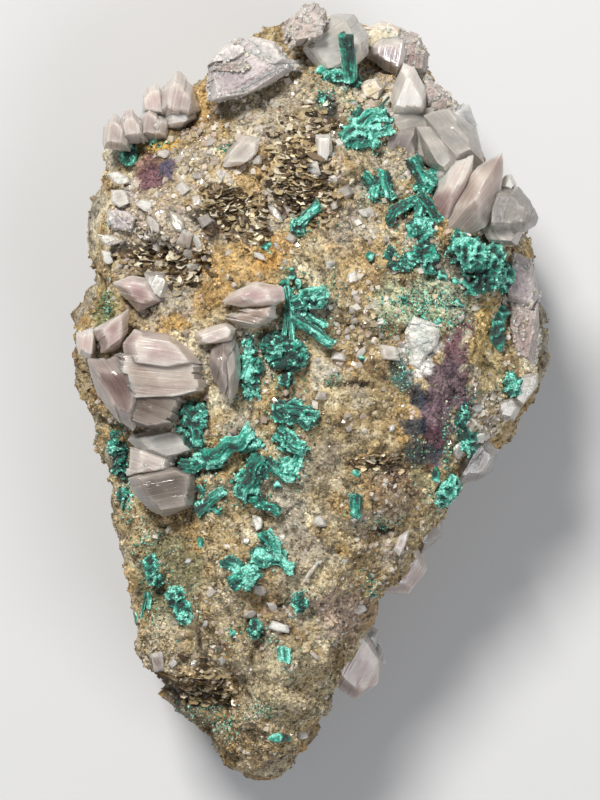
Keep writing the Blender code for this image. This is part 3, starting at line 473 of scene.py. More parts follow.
def new_piece(name, points, faces, paint, finishes, sharp=None, wears=None, lay=None):
    """An object from world points, arrays of faces, a colour at each point, and its finishes.

    Faces that meet at more than the sharp angle, in degrees, keep a crisp edge. Wears hold the
    number of each face's finish. The lay holds each point's millimetres over and along the layers.
    """
    corners = np.concatenate([rows.ravel() for rows in faces])
    sizes = np.concatenate([np.full(len(rows), rows.shape[1]) for rows in faces])
    mesh = bpy.data.meshes.new(name)
    mesh.vertices.add(len(points))
    mesh.vertices.foreach_set("co", np.asarray(points, dtype=np.float32).ravel())
    mesh.loops.add(len(corners))
    mesh.loops.foreach_set("vertex_index", corners.astype(np.int32))
    mesh.polygons.add(len(sizes))
    mesh.polygons.foreach_set("loop_start", (np.cumsum(sizes) - sizes).astype(np.int32))
    mesh.update(calc_edges=True)
    layer = mesh.attributes.new("paint", "FLOAT_COLOR", "POINT")
    layer.data.foreach_set("color", np.column_stack([paint, np.ones(len(paint))]).ravel())
    if lay is not None:
        for column, way in enumerate(("across", "along")):
            mesh.attributes.new(way, "FLOAT", "POINT").data.foreach_set("value", lay[:, column])
    for finish in finishes:
        mesh.materials.append(finish)
    if wears is not None:
        mesh.polygons.foreach_set("material_index", wears)
    if sharp is None:
        mesh.shade_flat()
    else:
        mesh.shade_smooth()
        mesh.set_sharp_from_angle(angle=math.radians(sharp))
    piece = new_object(name, mesh)
    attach(piece, "root")
    return piece


def new_finish(name, **settings):
    """A material, its Principled shader with these settings, and a function that adds nodes to it.

    That function sets a node's inputs, by name or number, to values or other nodes' outputs.
    """
    material = bpy.data.materials.new(name)
    material.use_nodes = True
    tree = material.node_tree

    def node(kind, operation=None, **inputs):
        """A new node of a kind, or one that is there already, with its inputs set or linked."""
        made = tree.nodes.new("ShaderNode" + kind) if isinstance(kind, str) else kind
        if operation:
            made.operation = operation
        for key, value in inputs.items():
            socket = made.inputs[int(key[1:]) if key[0] == "_" else key.replace("_", " ")]
            if isinstance(value, bpy.types.NodeSocket):
                tree.links.new(value, socket)
            else:
                socket.default_value = value
        return made

    return material, node(tree.nodes["Principled BSDF"], **settings), node


def attribute(node, name, output="Fac"):
    """What the mesh holds at each place under this name."""
    made = node("Attribute")
    made.attribute_name = name
    return made.outputs[output]


def noise(node, where, scale, detail, roughness):
    """Noise at these places, from 0 to 1 and mostly near a half."""
    made = node("TexNoise", Vector=where, Scale=scale, Detail=detail, Roughness=roughness)
    return made.outputs["Fac"]


def ranged(node, value, from_low, from_high, to_low, to_high):
    """A value carried from one range to another and held inside it."""
    made = node("MapRange", Value=value, From_Min=from_low, From_Max=from_high, To_Min=to_low,
                To_Max=to_high)
    return made.outputs[0]


def raised(node, *layers):
    """The sum of outputs, each times its height in metres."""
    total = 0.0
    for output, height in layers:
        total = node("Math", "MULTIPLY_ADD", _0=output, _1=height, _2=total).outputs[0]
    return total


def shaded(node, shader, shares, height, strength=1.0):
    """Multiplies the paint by all the shares, and bumps the surface by the height in metres."""
    shade = attribute(node, "paint", "Color")
    for share in shares:
        shade = node("VectorMath", "SCALE", _0=shade, Scale=share).outputs[0]
    bump = node("Bump", Strength=strength, Distance=1.0, Height=height)
    node(shader, Base_Color=shade, Normal=bump.outputs[0])


def sandy(node, shader, size, contrast, pit_shading):
    """Breaks the paint into grains of this size in metres, and raises them from the surface.

    Round cells give each grain its own brightness. Noise about as fine as the grains mottles them,
    and wider noise sinks pits and darkens them with painted shade.
    """
    where = node("TexCoord").outputs["Object"]
    cell = node("TexVoronoi", Vector=where, Scale=1.0 / size)
    own = node("SeparateColor", Color=cell.outputs["Color"]).outputs[0]
    grit = noise(node, where, 0.8 / size, 5.0, 0.7)
    pit = noise(node, where, 0.3 / size, 3.0, 0.6)
    # The last share is painted shade, darker where the pits sink.
    shares = (
        ranged(node, own, 0.0, 1.0, 1.0 - contrast, 1.0 + contrast),
        ranged(node, grit, 0.3, 0.7, 1.0 - contrast, 1.0 + contrast),
        ranged(node, pit, 0.36, 0.48, 1.0 - pit_shading, 1.0),
    )
    layers = (cell.outputs["Distance"], -0.35 * size), (grit, 1.1 * size), (pit, 2.4 * size)
    shaded(node, shader, shares, raised(node, *layers))


# Dull earthy stone, broken into sandy grains of a quarter of a millimetre.
limonite_earth, shader, node = new_finish("limonite_earth", Roughness=0.75, Specular_IOR_Level=0.4)
sandy(node, shader, 0.00024, 0.32, 0.62)

closings = np.linspace(0.0, CAP_SHARE, CAP_RINGS + 1)[1:]
cap_rise = (1.0 - (1.0 - closings**2) ** (1.0 / END_BLUNTNESS)) / 2.0
long_rise = np.linspace(cap_rise[-1], 1.0 - cap_rise[-1], LONG_RINGS + 2)[1:-1]
ring_rise = np.concatenate([cap_rise, long_rise, 1.0 - cap_rise[::-1]])
ring_turn = np.interp(
    np.arange(ROCK_AROUND) / ROCK_AROUND, [0.0, FRONT_SHARE, 1.0], [0.0, math.pi, 2.0 * math.pi]
)
rise_grid, turn_grid = np.meshgrid(ring_rise, ring_turn, indexing="ij")
rock_rise = np.append(rise_grid.ravel(), [0.0, 1.0])
rock_turn = np.append(turn_grid.ravel(), [0.0, 0.0])
rock = matrix_points(rock_turn, rock_rise)
rock[:, 2] = np.maximum(rock[:, 2], 0.0)
rock_front = on_front(rock_turn)
rock_piece = new_piece(
    "limonite_rock",
    placed(rock),
    ringed_faces(len(ring_rise), ROCK_AROUND),
    rock_paint(rock, rock_front)[0],
    (limonite_earth,),
    sharp=80.0,
)
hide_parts("matrix_rock")


# A grid of heights over the rock's face, on which all that grew there is seated: the size of a
# cell in millimetres, the cells along each side, and the lowest height that counts as the face.
# A hole in it is filled when this many of the nine cells at it have a height.
HEIGHT_CELL = 0.3
HEIGHT_CELLS = 400
FACE_LEAST = 10.0
FILL_ROUNDS = 3
FILL_NEIGHBOURS = 5


def height_grid():
    """Height of the rock's skin on a grid over its face: the highest point of it in each fine cell.

    An empty cell with rock round most of it takes the highest height there. A cell off the rock
    stays at -1.
    """
    facing = (rock_front > 0.5) & (rock[:, 2] > FACE_LEAST)
    columns = np.round(rock[facing, :2] / HEIGHT_CELL).astype(int) + HEIGHT_CELLS // 2
    heights = np.full((HEIGHT_CELLS, HEIGHT_CELLS), -1.0)
    np.maximum.at(heights, (columns[:, 0], columns[:, 1]), rock[facing, 2])
    for _ in range(FILL_ROUNDS):
        beside = np.array([
            np.roll(heights, (down - 1, over - 1), (0, 1)) for down, over in np.ndindex(3, 3)
        ])
        hole = (heights < 0.0) & (np.sum(beside > 0.0, axis=0) >= FILL_NEIGHBOURS)
        heights = np.where(hole, beside.max(axis=0), heights)
    return heights


rock_heights = height_grid()


def front_heights(u, v):
    """Heights of the rock's skin at places (u, v), or -1 off the rock."""
    near = np.round(np.column_stack([u, v]) / HEIGHT_CELL).astype(int) + HEIGHT_CELLS // 2
    return rock_heights[near[:, 0], near[:, 1]]


# The druse: small pointed calcite crystals scattered over the rock, and grains of limonite and
# ochre packed between them. They grew on its face, and grains lie on its sides and back as well.
# Their shapes are a rhomb, a grain of eight faces and a tooth with six corners round its middle.
RHOMB = np.array([
    (-1, -1, -1), (1, -1, -1), (1, 1, -1), (-1, 1, -1),
    (-0.7, -0.8, 1), (1.3, -0.8, 1), (1.3, 1.2, 1), (-0.7, 1.2, 1),
])
RHOMB_FACES = np.array([
    (3, 2, 1, 0), (4, 5, 6, 7), (0, 1, 5, 4), (1, 2, 6, 5), (2, 3, 7, 6), (3, 0, 4, 7),
])
GRAIN = np.array([(1, 0, 0), (-1, 0, 0), (0, 1, 0), (0, -1, 0), (0, 0, 1), (0, 0, -1)])
GRAIN_FACES = np.array([
    (0, 2, 4), (2, 1, 4), (1, 3, 4), (3, 0, 4), (2, 0, 5), (1, 2, 5), (3, 1, 5), (0, 3, 5),
])
TOOTH = np.array([
    (1, 0, 0.16), (0.5, 0.87, -0.16), (-0.5, 0.87, 0.16), (-1, 0, -0.16), (-0.5, -0.87, 0.16),
    (0.5, -0.87, -0.16), (0, 0, 1), (0, 0, -1),
])
TOOTH_FACES = np.array([
    (0, 1, 6), (1, 2, 6), (2, 3, 6), (3, 4, 6), (4, 5, 6), (5, 0, 6),
    (1, 0, 7), (2, 1, 7), (3, 2, 7), (4, 3, 7), (5, 4, 7), (0, 5, 7),
])
GRAIN_STRETCH = (0.6, 1.25)
TONE_SPREAD = (0.7, 1.15)
PALE_TONES = ("ece6dc", "dccfc0", "cdb8ae", "c4beb4", "d6c6a4", "f0ece6")
EARTH_TONES = ("c2a56c", "a38254", "dccaa0", "6f5638", "b59a6c", "45341f", "e8dcbc", "cfb27a")


def turned_at_random(count, lean, draw):
    """Rotations that spin a shape any amount and then lean it over, by up to lean degrees."""
    spin = draw.uniform(0.0, 2.0 * math.pi, count)
    tilt = np.radians(lean) * np.sqrt(draw.uniform(0.0, 1.0, count))
    way = draw.uniform(0.0, 2.0 * math.pi, count)
    zero = np.zeros(count)
    one = np.ones(count)

    def about_z(angle):
        """Turns by these angles about the third axis."""
        rows = (np.cos(angle), -np.sin(angle), zero, np.sin(angle), np.cos(angle), zero, zero, zero, one)
        return np.stack(rows, axis=-1).reshape(count, 3, 3)

    rows = (one, zero, zero, zero, np.cos(tilt), -np.sin(tilt), zero, np.sin(tilt), np.cos(tilt))
    over = np.stack(rows, axis=-1).reshape(count, 3, 3)
    return about_z(way) @ over @ about_z(spin)


def strewn(shape, faces, places, sizes, paint, draw, form=(1.0, 1.0, 1.0), lean=180.0, tip=0.0):
    """World points, faces and paint of a shape repeated at places, turned and stretched at random.

    Each one leans over by up to lean degrees, and then all of them are tipped up the rock.
    """
    count = len(places)
    stretch = sizes[:, None, None] * draw.uniform(*GRAIN_STRETCH, (count, 1, 3)) / 2.0
    corners = shape[None] * stretch * np.array(form)
    corners = corners @ turned_at_random(count, lean, draw).transpose(0, 2, 1)
    corners = corners @ np.array(Matrix.Rotation(math.radians(tip), 3, "X")).T
    corners = corners + places[:, None, :]
    corners[:, :, 2] = np.maximum(corners[:, :, 2], 0.0)
    numbered = faces[None] + np.arange(count)[:, None, None] * len(shape)
    points = placed(corners.reshape(-1, 3))
    return points, [numbered.reshape(-1, faces.shape[1])], np.repeat(paint, len(shape), axis=0)


def tones(codes, count, draw):
    """A random one of these colours for each piece, a little lighter or darker."""
    palette = np.array([colour(code) for code in codes])
    return palette[draw.integers(0, len(codes), count)] * draw.uniform(*TONE_SPREAD, (count, 1))


# Where the pale druse is thick: u, v, half length across, half length up and its share there.
DRUSE_PATCHES = (
    (-15, 17, 5, 5.5, 1),
    (-9, 24, 5, 4, 0.6),
    (2, 24, 3, 5, 0.6),
    (7.5, 29.5, 4.5, 3.5, 1),
    (6, 8, 3, 5, 0.7),
    (8, 18, 2.5, 3, 0.6),
    (18, -2, 3, 4.5, 0.8),
    (-3, -14, 5, 3, 0.5),
    (-4, -22, 7, 3.5, 0.5),
    (8, -14, 4, 6, 0.5),
)
DRUSE_BARE = 0.16
# How much smaller most grains are than the largest, how far a stain or painted shadow may cover
# the rock before the druse stops, and how the ground's colour varies from grain to grain.
GRAIN_POWER = 2.4
MARK_LIMITS = (0.3, 0.85)
GROUND_TONES = (0.65, 1.35)


def sized(count, power, sizes, draw):
    """Random sizes between two limits. The higher the power is, the more of them are small."""
    low, high = sizes
    return draw.uniform(0.0, 1.0, count) ** power * (high - low) + low


def druse(
    name, shape, faces, count, turns, rises, sizes, codes, blend, finish, seed, patched=False
):
    """Strews grains over a stretch of the rock, coloured by their tones and the rock under them.

    Patched grains are kept by their share in DRUSE_PATCHES, and are few where a stain or painted
    shadow covers the rock. The others take the colour of the stain or shadow under them.
    """
    draw = np.random.default_rng(seed)
    turn = draw.uniform(*turns, count)
    rise = draw.uniform(*rises, count)
    places = matrix_points(turn, rise)
    if patched:
        share = np.full(count, DRUSE_BARE)
        for middle_u, middle_v, half_u, half_v, most in DRUSE_PATCHES:
            reach = ((places[:, 0] - middle_u) / half_u) ** 2
            reach = reach + ((places[:, 1] - middle_v) / half_v) ** 2
            share = np.maximum(share, most * np.exp(-(reach**2)))
        kept = draw.uniform(0.0, 1.0, count) < share
        turn, places = turn[kept], places[kept]
    ground_paint, cover = rock_paint(places, on_front(turn))
    if patched:
        bare = cover < draw.uniform(*MARK_LIMITS, len(places))
        places, ground_paint, cover = places[bare], ground_paint[bare], cover[bare]
    count = len(places)
    size = sized(count, GRAIN_POWER, sizes, draw)
    ground_paint = ground_paint * draw.uniform(*GROUND_TONES, (count, 1))
    paint = tones(codes, count, draw)
    paint = toward(paint, ground_paint, blend + (1.0 - blend) * (0.0 if patched else 1.0) * cover)
    piece = new_piece(name, *strewn(shape, faces, places, size, held(paint), draw), (finish,))


# Small cloudy calcite, which is pale, glossy and a little see-through.
druse_calcite, shader, node = new_finish(
    "druse_calcite", Roughness=0.12, IOR=1.6, Transmission_Weight=0.3
)
node(shader, Base_Color=attribute(node, "paint", "Color"))
FRONT = (0.10 * math.pi, 0.90 * math.pi)
ALL_ROUND = (-0.35 * math.pi, 1.35 * math.pi)
druse("upper_druse", TOOTH, TOOTH_FACES, 19000, FRONT, (0.45, 0.98), (0.18, 1.05),
      PALE_TONES, 0.3, druse_calcite, 51, patched=True)
druse("lower_druse", TOOTH, TOOTH_FACES, 9000, FRONT, (0.03, 0.48), (0.16, 0.8),
      PALE_TONES, 0.4, druse_calcite, 52, patched=True)
druse("front_grains", GRAIN, GRAIN_FACES, 24000, FRONT, (0.03, 0.98),
      (0.12, 0.62), EARTH_TONES, 0.6, limonite_earth, 53)
druse("side_grains", GRAIN, GRAIN_FACES, 20000, ALL_ROUND, (0.01, 0.99),
      (0.2, 0.8), EARTH_TONES, 0.6, limonite_earth, 54)


# Flaky limonite: thin brown, golden and silvery leaves on the ridge and along the crevices. They
# are the edges of the rock's own layers, where it weathered and split.
# Each patch has a middle (u, v), half sizes and how many flakes lie on it.
FLAKE_PATCHES = (
    (0.2, 26, 2.4, 2.6, 700),
    (0, 22.4, 2.6, 2.6, 900),
    (1.2, 19.6, 2, 1.8, 450),
    (-5, 18.2, 2.4, 2, 520),
    (-7.6, 19.6, 2, 1.8, 420),
    (-14, 14.2, 4, 1.4, 460),
    (-13.2, 12.2, 3, 1, 320),
    (7.3, -6.2, 2.6, 0.8, 200),
    (-9.6, -28.6, 3, 2, 260),
)
FLAKE_TONES = ("3a2d1f", "5a4830", "9a8560", "bba981", "d6ccb4", "75614a", "a89a7e", "45372a")
FLAKE_FORM = (1.0, 0.70, 0.12)
FLAKE_SIZES = (0.3, 1.75)
FLAKE_LEAN = 32.0
FLAKE_TIP = 52.0

# Satin leaves of ore, speckled by fine noise, with a soft metallic gloss.
flaky_limonite, shader, node = new_finish(
    "flaky_limonite", Roughness=0.38, Specular_IOR_Level=0.7, Metallic=0.25
)
speckle = noise(node, node("TexCoord").outputs["Object"], 3600.0, 6.0, 0.7)
shares = (ranged(node, speckle, 0.3, 0.7, 0.75, 1.2),)
shaded(node, shader, shares, raised(node, (speckle, 0.00005)), strength=0.7)

flake_draw = np.random.default_rng(56)
flake_rows = np.repeat(np.array(FLAKE_PATCHES), [row[4] for row in FLAKE_PATCHES], axis=0)
flake_spread = flake_draw.normal(0.0, 0.5, (len(flake_rows), 2))
flake_u = flake_rows[:, 0] + flake_rows[:, 2] * flake_spread[:, 0]
flake_v = flake_rows[:, 1] + flake_rows[:, 3] * flake_spread[:, 1]
flake_places = np.column_stack([flake_u, flake_v, front_heights(flake_u, flake_v)])
flake_places = flake_places[flake_places[:, 2] > FACE_LEAST]
flake_count = len(flake_places)
flake_size = sized(flake_count, 1.6, FLAKE_SIZES, flake_draw)
flakes = new_piece("limonite_flakes", *strewn(
    TOOTH, TOOTH_FACES, flake_places, flake_size, tones(FLAKE_TONES, flake_count, flake_draw),
    flake_draw, form=FLAKE_FORM, lean=FLAKE_LEAN, tip=-FLAKE_TIP,
), (flaky_limonite,))


# Calcite crystals on the face: flat cloudy plates and blades, mauve to brown inside and white at
# their edges, partly milky and partly painted highlight, built of thin pages that end raggedly.
# They grew together in clusters.
# Each cluster has a root (u, v), where its height is taken from the rock, and crystals: tint,
# the grain's direction in degrees and its bend, lift above the root, slope along u and v,
# thickness, how far the flat faces are set in from the edge (1 is a ridge), and the edge's
# corners (u, v).
CLUSTERS = {
    "left_fan": ((-14.5, 2.5), (
        ("mauve", -8, 0, 2.2, 0.05, 0.1, 5.4, 0.3,
         ((-18, 5.4), (-16.7, 7.2), (-15.6, 6.7), (-13.2, 6.7), (-11.4, 5.5), (-9.7, 3.6), (-12.4, 3.1),
          (-17.4, 3.3))),
        ("slab", -5, 0.01, 1.7, 0.04, 0.06, 4.8, 0.16,
         ((-18.8, 4.6), (-12.4, 4.6), (-9.6, 3.4), (-9.3, 0.9), (-11.5, 0.3), (-18, 0))),
        ("umber", -20, -0.02, 1.1, 0.04, 0.08, 4.6, 0.2,
         ((-18.4, 1.6), (-15.4, 2.2), (-11.2, 1), (-11.4, -1.2), (-12.6, -2.8), (-15, -2.9), (-17.4, -2.4))),
        ("plum", -60, -0.03, 1.5, 0.22, 0, 4.2, 0.4,
         ((-21.5, 4.4), (-19.8, 4.2), (-17.8, 4.8), (-16.2, 1.6), (-15.9, -1.4), (-16.6, -3.2), (-18.4, -2.1),
          (-20.4, 0.8))),
        ("pink", 38, 0, 0.5, 0.26, 0.1, 4.6, 0.35,
         ((-20.7, 7.1), (-16.9, 9.3), (-17.2, 6.4), (-18.2, 5), (-19.9, 4.4))),
        ("pink", 84, 0, -1.6, 0.4, 0, 4.4, 0.3,
         ((-22.4, 6.8), (-20.6, 7.3), (-20.4, 5), (-20.8, 3.8), (-22.4, 4.6))),
    )),
    "left_wedge": ((-15.2, 11), (
        ("mauve", -14, 0, 0.9, 0.1, 0.15, 4.2, 0.42,
         ((-19, 11.7), (-16.9, 12.5), (-14.8, 12.1), (-13.4, 9.8), (-16.2, 8.8))),
        ("clear", 70, 0, 0.4, 0.05, -0.1, 3.4, 0.3,
         ((-15.6, 12.8), (-13.6, 12.9), (-12.7, 11.2), (-13.6, 9.6), (-15.4, 10.4))),
    )),
    "left_lower": ((-13.8, -6.5), (
        ("clear", 10, 0, 1.6, 0.06, 0.06, 3, 0.3,
         ((-17.6, -3.7), (-15.4, -3.1), (-12, -2.9), (-11.3, -3.3), (-9.7, -4.7), (-13.5, -6.1),
          (-16, -5.3))),
        ("rose", -20, 0, 1, 0.05, 0.02, 3.6, 0.45,
         ((-17.2, -4.6), (-14.4, -5.2), (-12.2, -5.6), (-12.6, -7.2), (-14.2, -7.6), (-17.4, -7.6))),
        ("brown", 10, 0, 0.9, 0.05, 0.1, 4.6, 0.28,
         ((-17.4, -7.9), (-16.4, -7.1), (-13.2, -6.5), (-10.1, -7.1), (-10.3, -10.5), (-13.4, -11.7),
          (-15.2, -11.1), (-16.6, -9.4))),
    )),
    "centre_blades": ((-3.8, 9.4), (
        ("pink", 14, -0.02, 1.8, 0.1, 0.1, 3.6, 0.5,
         ((-8.2, 10), (-6.4, 11), (-4.4, 11.9), (-1.6, 11.4), (-1.4, 9.8), (-3.4, 9.2), (-6.4, 9.2))),
        ("slab", -12, 0, 1.2, 0.12, 0.12, 3.4, 0.3,
         ((-8, 8.3), (-5.4, 9.3), (-2.4, 9.6), (-2.1, 8.1), (-3.8, 7), (-6.2, 7.4))),
    )),
    "hanging_blades": ((-7.6, 4.8), (
        ("pink", 18, 0, 0.8, 0.05, 0.1, 3.4, 0.25,
         ((-10.7, 6.7), (-9, 7.4), (-7.2, 7.8), (-6.2, 7.2), (-6.6, 5.9), (-9.6, 5.3), (-10.5, 5.8))),
        ("dusk", 82, 0.03, 1.5, 0.2, -0.12, 3.6, 0.55,
         ((-9.2, 3.8), (-8.8, 5.4), (-7.8, 6.2), (-6.5, 5.9), (-6.6, 2.8), (-7.6, 0.1), (-8.5, 1.6))),
        ("dusk", 96, -0.03, 1.3, -0.2, -0.12, 3.6, 0.55,
         ((-7.8, 5), (-6.7, 6.6), (-6, 5), (-5.9, 3), (-6.2, 1.2), (-6.9, -0.6), (-7.6, 1.6))),
    )),
    "top_left_row": ((-14.8, 27), (
        ("rose", 84, 0, 0.8, 0.1, 0.05, 5, 0.4,
         ((-19.8, 25), (-19.7, 27.4), (-18.6, 28.9), (-17.2, 27.4), (-16.9, 24.8))),
        ("rose", 100, 0, 1.4, 0.1, 0.05, 5, 0.45,
         ((-18.1, 25.6), (-18.2, 28), (-17.2, 29.5), (-15.6, 27.9), (-15.1, 25.6))),
        ("rose", 82, 0, 1, 0, 0, 4.6, 0.4,
         ((-16.6, 26), (-16.2, 28.2), (-15, 29.6), (-13.2, 28.2), (-13, 25.8))),
        ("pink", 98, 0, 0.6, 0.05, 0, 4.2, 0.3,
         ((-15.8, 28.4), (-15.7, 30.6), (-14.9, 32), (-13.4, 31), (-13.1, 28))),
        ("rose", 78, 0, 1.4, 0, 0.05, 5.6, 0.45,
         ((-14.3, 28.4), (-14, 31), (-12.3, 33.2), (-10.7, 31.6), (-9.9, 29), (-11.6, 27.4))),
        ("lilac", 10, 0, 1.2, 0.15, 0.1, 4, 0.5,
         ((-13.8, 28.8), (-10.4, 29.6), (-10.2, 28.2), (-12, 27), (-13.8, 27.2))),
    )),
    "top_plate": ((-4.8, 31.2), (
        ("frost", 32, 0, 1.8, 0.05, -0.25, 5.6, 0.16,
         ((-9.4, 33.4), (-6.5, 36.1), (-4.6, 36.2), (-2, 35.6), (-0.6, 33.4), (-2.2, 32.4), (-5.7, 30.4),
          (-9.1, 29.7))),
        ("rime", 34, 0, 2.3, 0.1, -0.25, 4.6, 0.25,
         ((-9.4, 33.4), (-7.8, 35.2), (-6.5, 36.1), (-5.2, 35.8), (-4.8, 34.6), (-6.6, 33.8))),
        ("rime", 30, 0, 2.4, 0.1, -0.25, 4.2, 0.25,
         ((-5.6, 35.4), (-4.7, 36.4), (-2.2, 35.9), (-0.8, 33.6), (-3.2, 33.4), (-5, 34.2))),
        ("crumb", 32, 0, 2.2, 0.05, -0.25, 5.2, 0.2,
         ((-9.2, 32.8), (-8.2, 33.9), (-6.2, 34.2), (-4.8, 34.4), (-4.6, 33.4), (-6.8, 32.4))),
        ("frost", 32, 0, 1.9, 0.05, -0.3, 4.8, 0.3,
         ((-9.6, 31.2), (-8.8, 32), (-4.6, 33.2), (-0.6, 34.2), (0, 33.4), (-2.2, 32), (-5.7, 30.2),
          (-9.2, 29.6))),
    )),
    "top_crest": ((3.2, 33), (
        ("crumb", 60, 0, 1, 0.05, -0.25, 6, 0.25,
         ((-1.8, 36.6), (-1.2, 38), (0.6, 39.6), (2.1, 39.7), (2.8, 38.8), (2.4, 36), (-1.2, 35))),
        ("clear", 30, 0.06, -0.4, 0, 0, 5.6, 0.3,
         ((0.2, 35), (1.4, 37.8), (4, 38.9), (5.4, 38.6), (6.9, 36.6), (6.9, 34.6), (5.2, 33), (1.8, 32.8))),
    )),
    "top_rhomb": ((9.6, 32.6), (
        ("cream", 0, 0, -0.2, 0, -0.25, 4.4, 0.3,
         ((5.2, 35.4), (6.2, 37.4), (8.6, 37.8), (10.6, 37.2), (10.8, 35.6), (8, 34.4))),
        ("lilac", 80, 0, 1.6, -0.05, -0.2, 5.6, 0.45,
         ((6.5, 34.3), (7.6, 36.4), (10.4, 36.7), (11.4, 33.8), (9.6, 32.2))),
        ("crumb", 80, 0, 0.4, -0.2, -0.15, 6, 0.3,
         ((10, 37.2), (12, 36.6), (12.9, 34.6), (12.7, 32.6), (10.6, 32), (9.8, 34))),
    )),
    "top_prism": ((10.6, 29.4), (
        ("white", 70, 0, 2.4, 0.05, 0, 5.4, 0.4,
         ((8.8, 28.2), (9.2, 31.2), (10.4, 33.9), (11.4, 33.4), (12.8, 30.8), (12.6, 28.2))),
        ("mist", 10, 0, 1.2, -0.1, 0.1, 4.4, 0.25,
         ((8.6, 29), (14.2, 29.4), (14.2, 26), (11.4, 25), (8.6, 26))),
        ("smoke", 62, 0, 2.2, 0, 0.1, 4.4, 0.35,
         ((8.2, 27.2), (11.9, 27.8), (12, 23.8), (9.4, 22.7), (8.3, 24))),
        ("clear", -20, 0, 1.2, 0, 0.1, 4, 0.35,
         ((11.2, 26.8), (14, 26.6), (14, 24.2), (12, 23), (11, 24.4))),
    )),
    "right_mass": ((14.4, 27.2), (
        ("crumb", 30, 0, 1.5, -0.1, 0, 5.6, 0.3,
         ((12, 30.6), (12.6, 32.4), (15, 30.6), (16.4, 28.8), (15.2, 27), (12.4, 28))),
        ("white", 5, 0, 1.9, -0.2, 0, 5.6, 0.45,
         ((12.2, 28.8), (14.6, 29.4), (16.9, 29.6), (17.8, 27.4), (15.6, 26.4), (13, 27.2))),
        ("white", 60, 0, 0.8, -0.2, 0, 5.8, 0.3,
         ((13.2, 29), (16.3, 29.8), (17.6, 27.8), (18.2, 25), (16.8, 24.4), (13, 25.8))),
    )),
    "flower": ((15.6, 19.6), (
        ("mist", -48, 0, 0.8, 0, 0.2, 5, 0.55,
         ((12.3, 28.6), (14.8, 29.2), (17.4, 27.4), (18.6, 23.6), (16.8, 22.6), (13.4, 25))),
        ("mist", -60, 0, 1.2, 0.05, 0.2, 4.6, 0.6,
         ((11.6, 27.4), (13.8, 27.4), (16.4, 23.8), (15.8, 21), (12.6, 23.6))),
        ("slab", 46, 0, 0.6, 0, 0.24, 5, 0.7,
         ((12.8, 21), (13.6, 23.4), (16.6, 25.2), (17.8, 22), (14.6, 17.6), (12.9, 18.4))),
        ("pink", 62, 0.02, 2.3, 0.24, 0.1, 5.2, 0.8,
         ((13.6, 17), (13, 19.4), (13.8, 22), (15.4, 24), (17.4, 24.6), (17.2, 22.6), (15.6, 19.8),
          (14.6, 17))),
        ("tan", 54, 0.01, 2.8, 0.04, 0.18, 6, 0.85,
         ((14.3, 16.5), (14.6, 18.6), (15.8, 21), (17.6, 23.3), (20.3, 24.9), (20.4, 22.4), (19.8, 19.4),
          (18.6, 17.3), (16.6, 16.3))),
        ("petal", 74, -0.08, 1, -0.2, 0.1, 5, 0.36,
         ((18.8, 20.8), (19.8, 21.6), (21.9, 21.4), (23.1, 20), (23.9, 18.2), (23.6, 17.4), (22.6, 16.8),
          (19.2, 16.4))),
        ("white", 60, 0, 0.2, -0.2, 0.1, 4, 0.4,
         ((19.8, 21.2), (20.4, 22.4), (21.1, 22.8), (21.7, 21.6), (21.2, 20.6))),
        ("mist", -60, 0.1, -0.4, -0.2, 0, 4.6, 0.3,
         ((17.6, 18.4), (20.6, 19.2), (22.4, 16.8), (21.8, 15.4), (18.8, 15.6))),
    )),
    "right_coat": ((21, 9), (
        ("frost", 80, 0, -1.4, -0.35, 0, 4.6, 0.35,
         ((20.8, 15.2), (23.2, 14), (24, 10.6), (23, 8.4), (20.6, 9.6))),
        ("crumb", 80, 0, -1.6, -0.35, 0, 4.6, 0.35,
         ((20.8, 10.6), (23.9, 10.2), (24, 6), (23.4, 2.6), (21.6, 3.4), (20.6, 6.6))),
    )),
    "right_clear": ((20.2, -0.6), (
        ("clear", 60, 0, 0.4, -0.2, 0.1, 3.6, 0.3,
         ((19.8, -0.2), (21.4, 0.4), (22.1, -0.8), (21.4, -2.2), (19.9, -1.8))),
        ("clear", 70, 0, -0.6, -0.3, 0.1, 3.4, 0.2,
         ((21.2, 0), (22.2, 2.6), (23.8, 2.8), (23.8, 1.4), (22.2, -0.8))),
    )),
    "right_smoky": ((16.6, -5), (
        ("smoke", 60, 0, -3.6, -0.1, 0.2, 5.6, 0.35,
         ((16.2, -4.4), (18.6, -3.6), (19.8, -5), (19.4, -6.9), (17.9, -8.1), (15.8, -8.4), (15.2, -6.2))),
    )),
    "low_edge_a": ((12.2, -12), (
        ("smoke", 70, 0, -5, -0.2, 0.1, 5.2, 0.35,
         ((12, -9.6), (14.4, -10.2), (14.2, -13.6), (12.2, -15.6), (10.6, -13))),
    )),
    "low_edge_b": ((8.2, -18), (
        ("pink", 60, 0, -10.5, -0.2, 0.1, 5.6, 0.35,
         ((9, -14.4), (12.2, -14.2), (12.8, -17), (10.8, -19.6), (7.4, -19.2))),
    )),
    "low_edge_c": ((3.6, -25.6), (
        ("pink", 60, 0, -9.6, -0.15, 0.15, 6, 0.3,
         ((4, -22.4), (7, -22.6), (8.5, -25.2), (7.8, -28.4), (5.6, -30), (3, -28.4))),
        ("white", 60, 0, -10.6, -0.2, 0, 5.2, 0.4,
         ((5.6, -21.6), (8, -23), (8.6, -26.4), (5, -26.8))),
    )),
    "front_cube": ((2.3, 25.2), (
        ("white", 86, 0, 0.7, 0.1, 0.1, 2.8, 0.25,
         ((1.5, 26.6), (3.1, 26.8), (3.3, 25), (2.6, 23.5), (1.6, 24))),
    )),
    "front_rhomb": ((7.2, 31), (
        ("cream", 30, 0, 1.2, 0.05, -0.1, 3, 0.25,
         ((5.8, 31.6), (7.6, 32.4), (8.6, 31.2), (7.8, 29.8), (6, 30.2))),
    )),
}
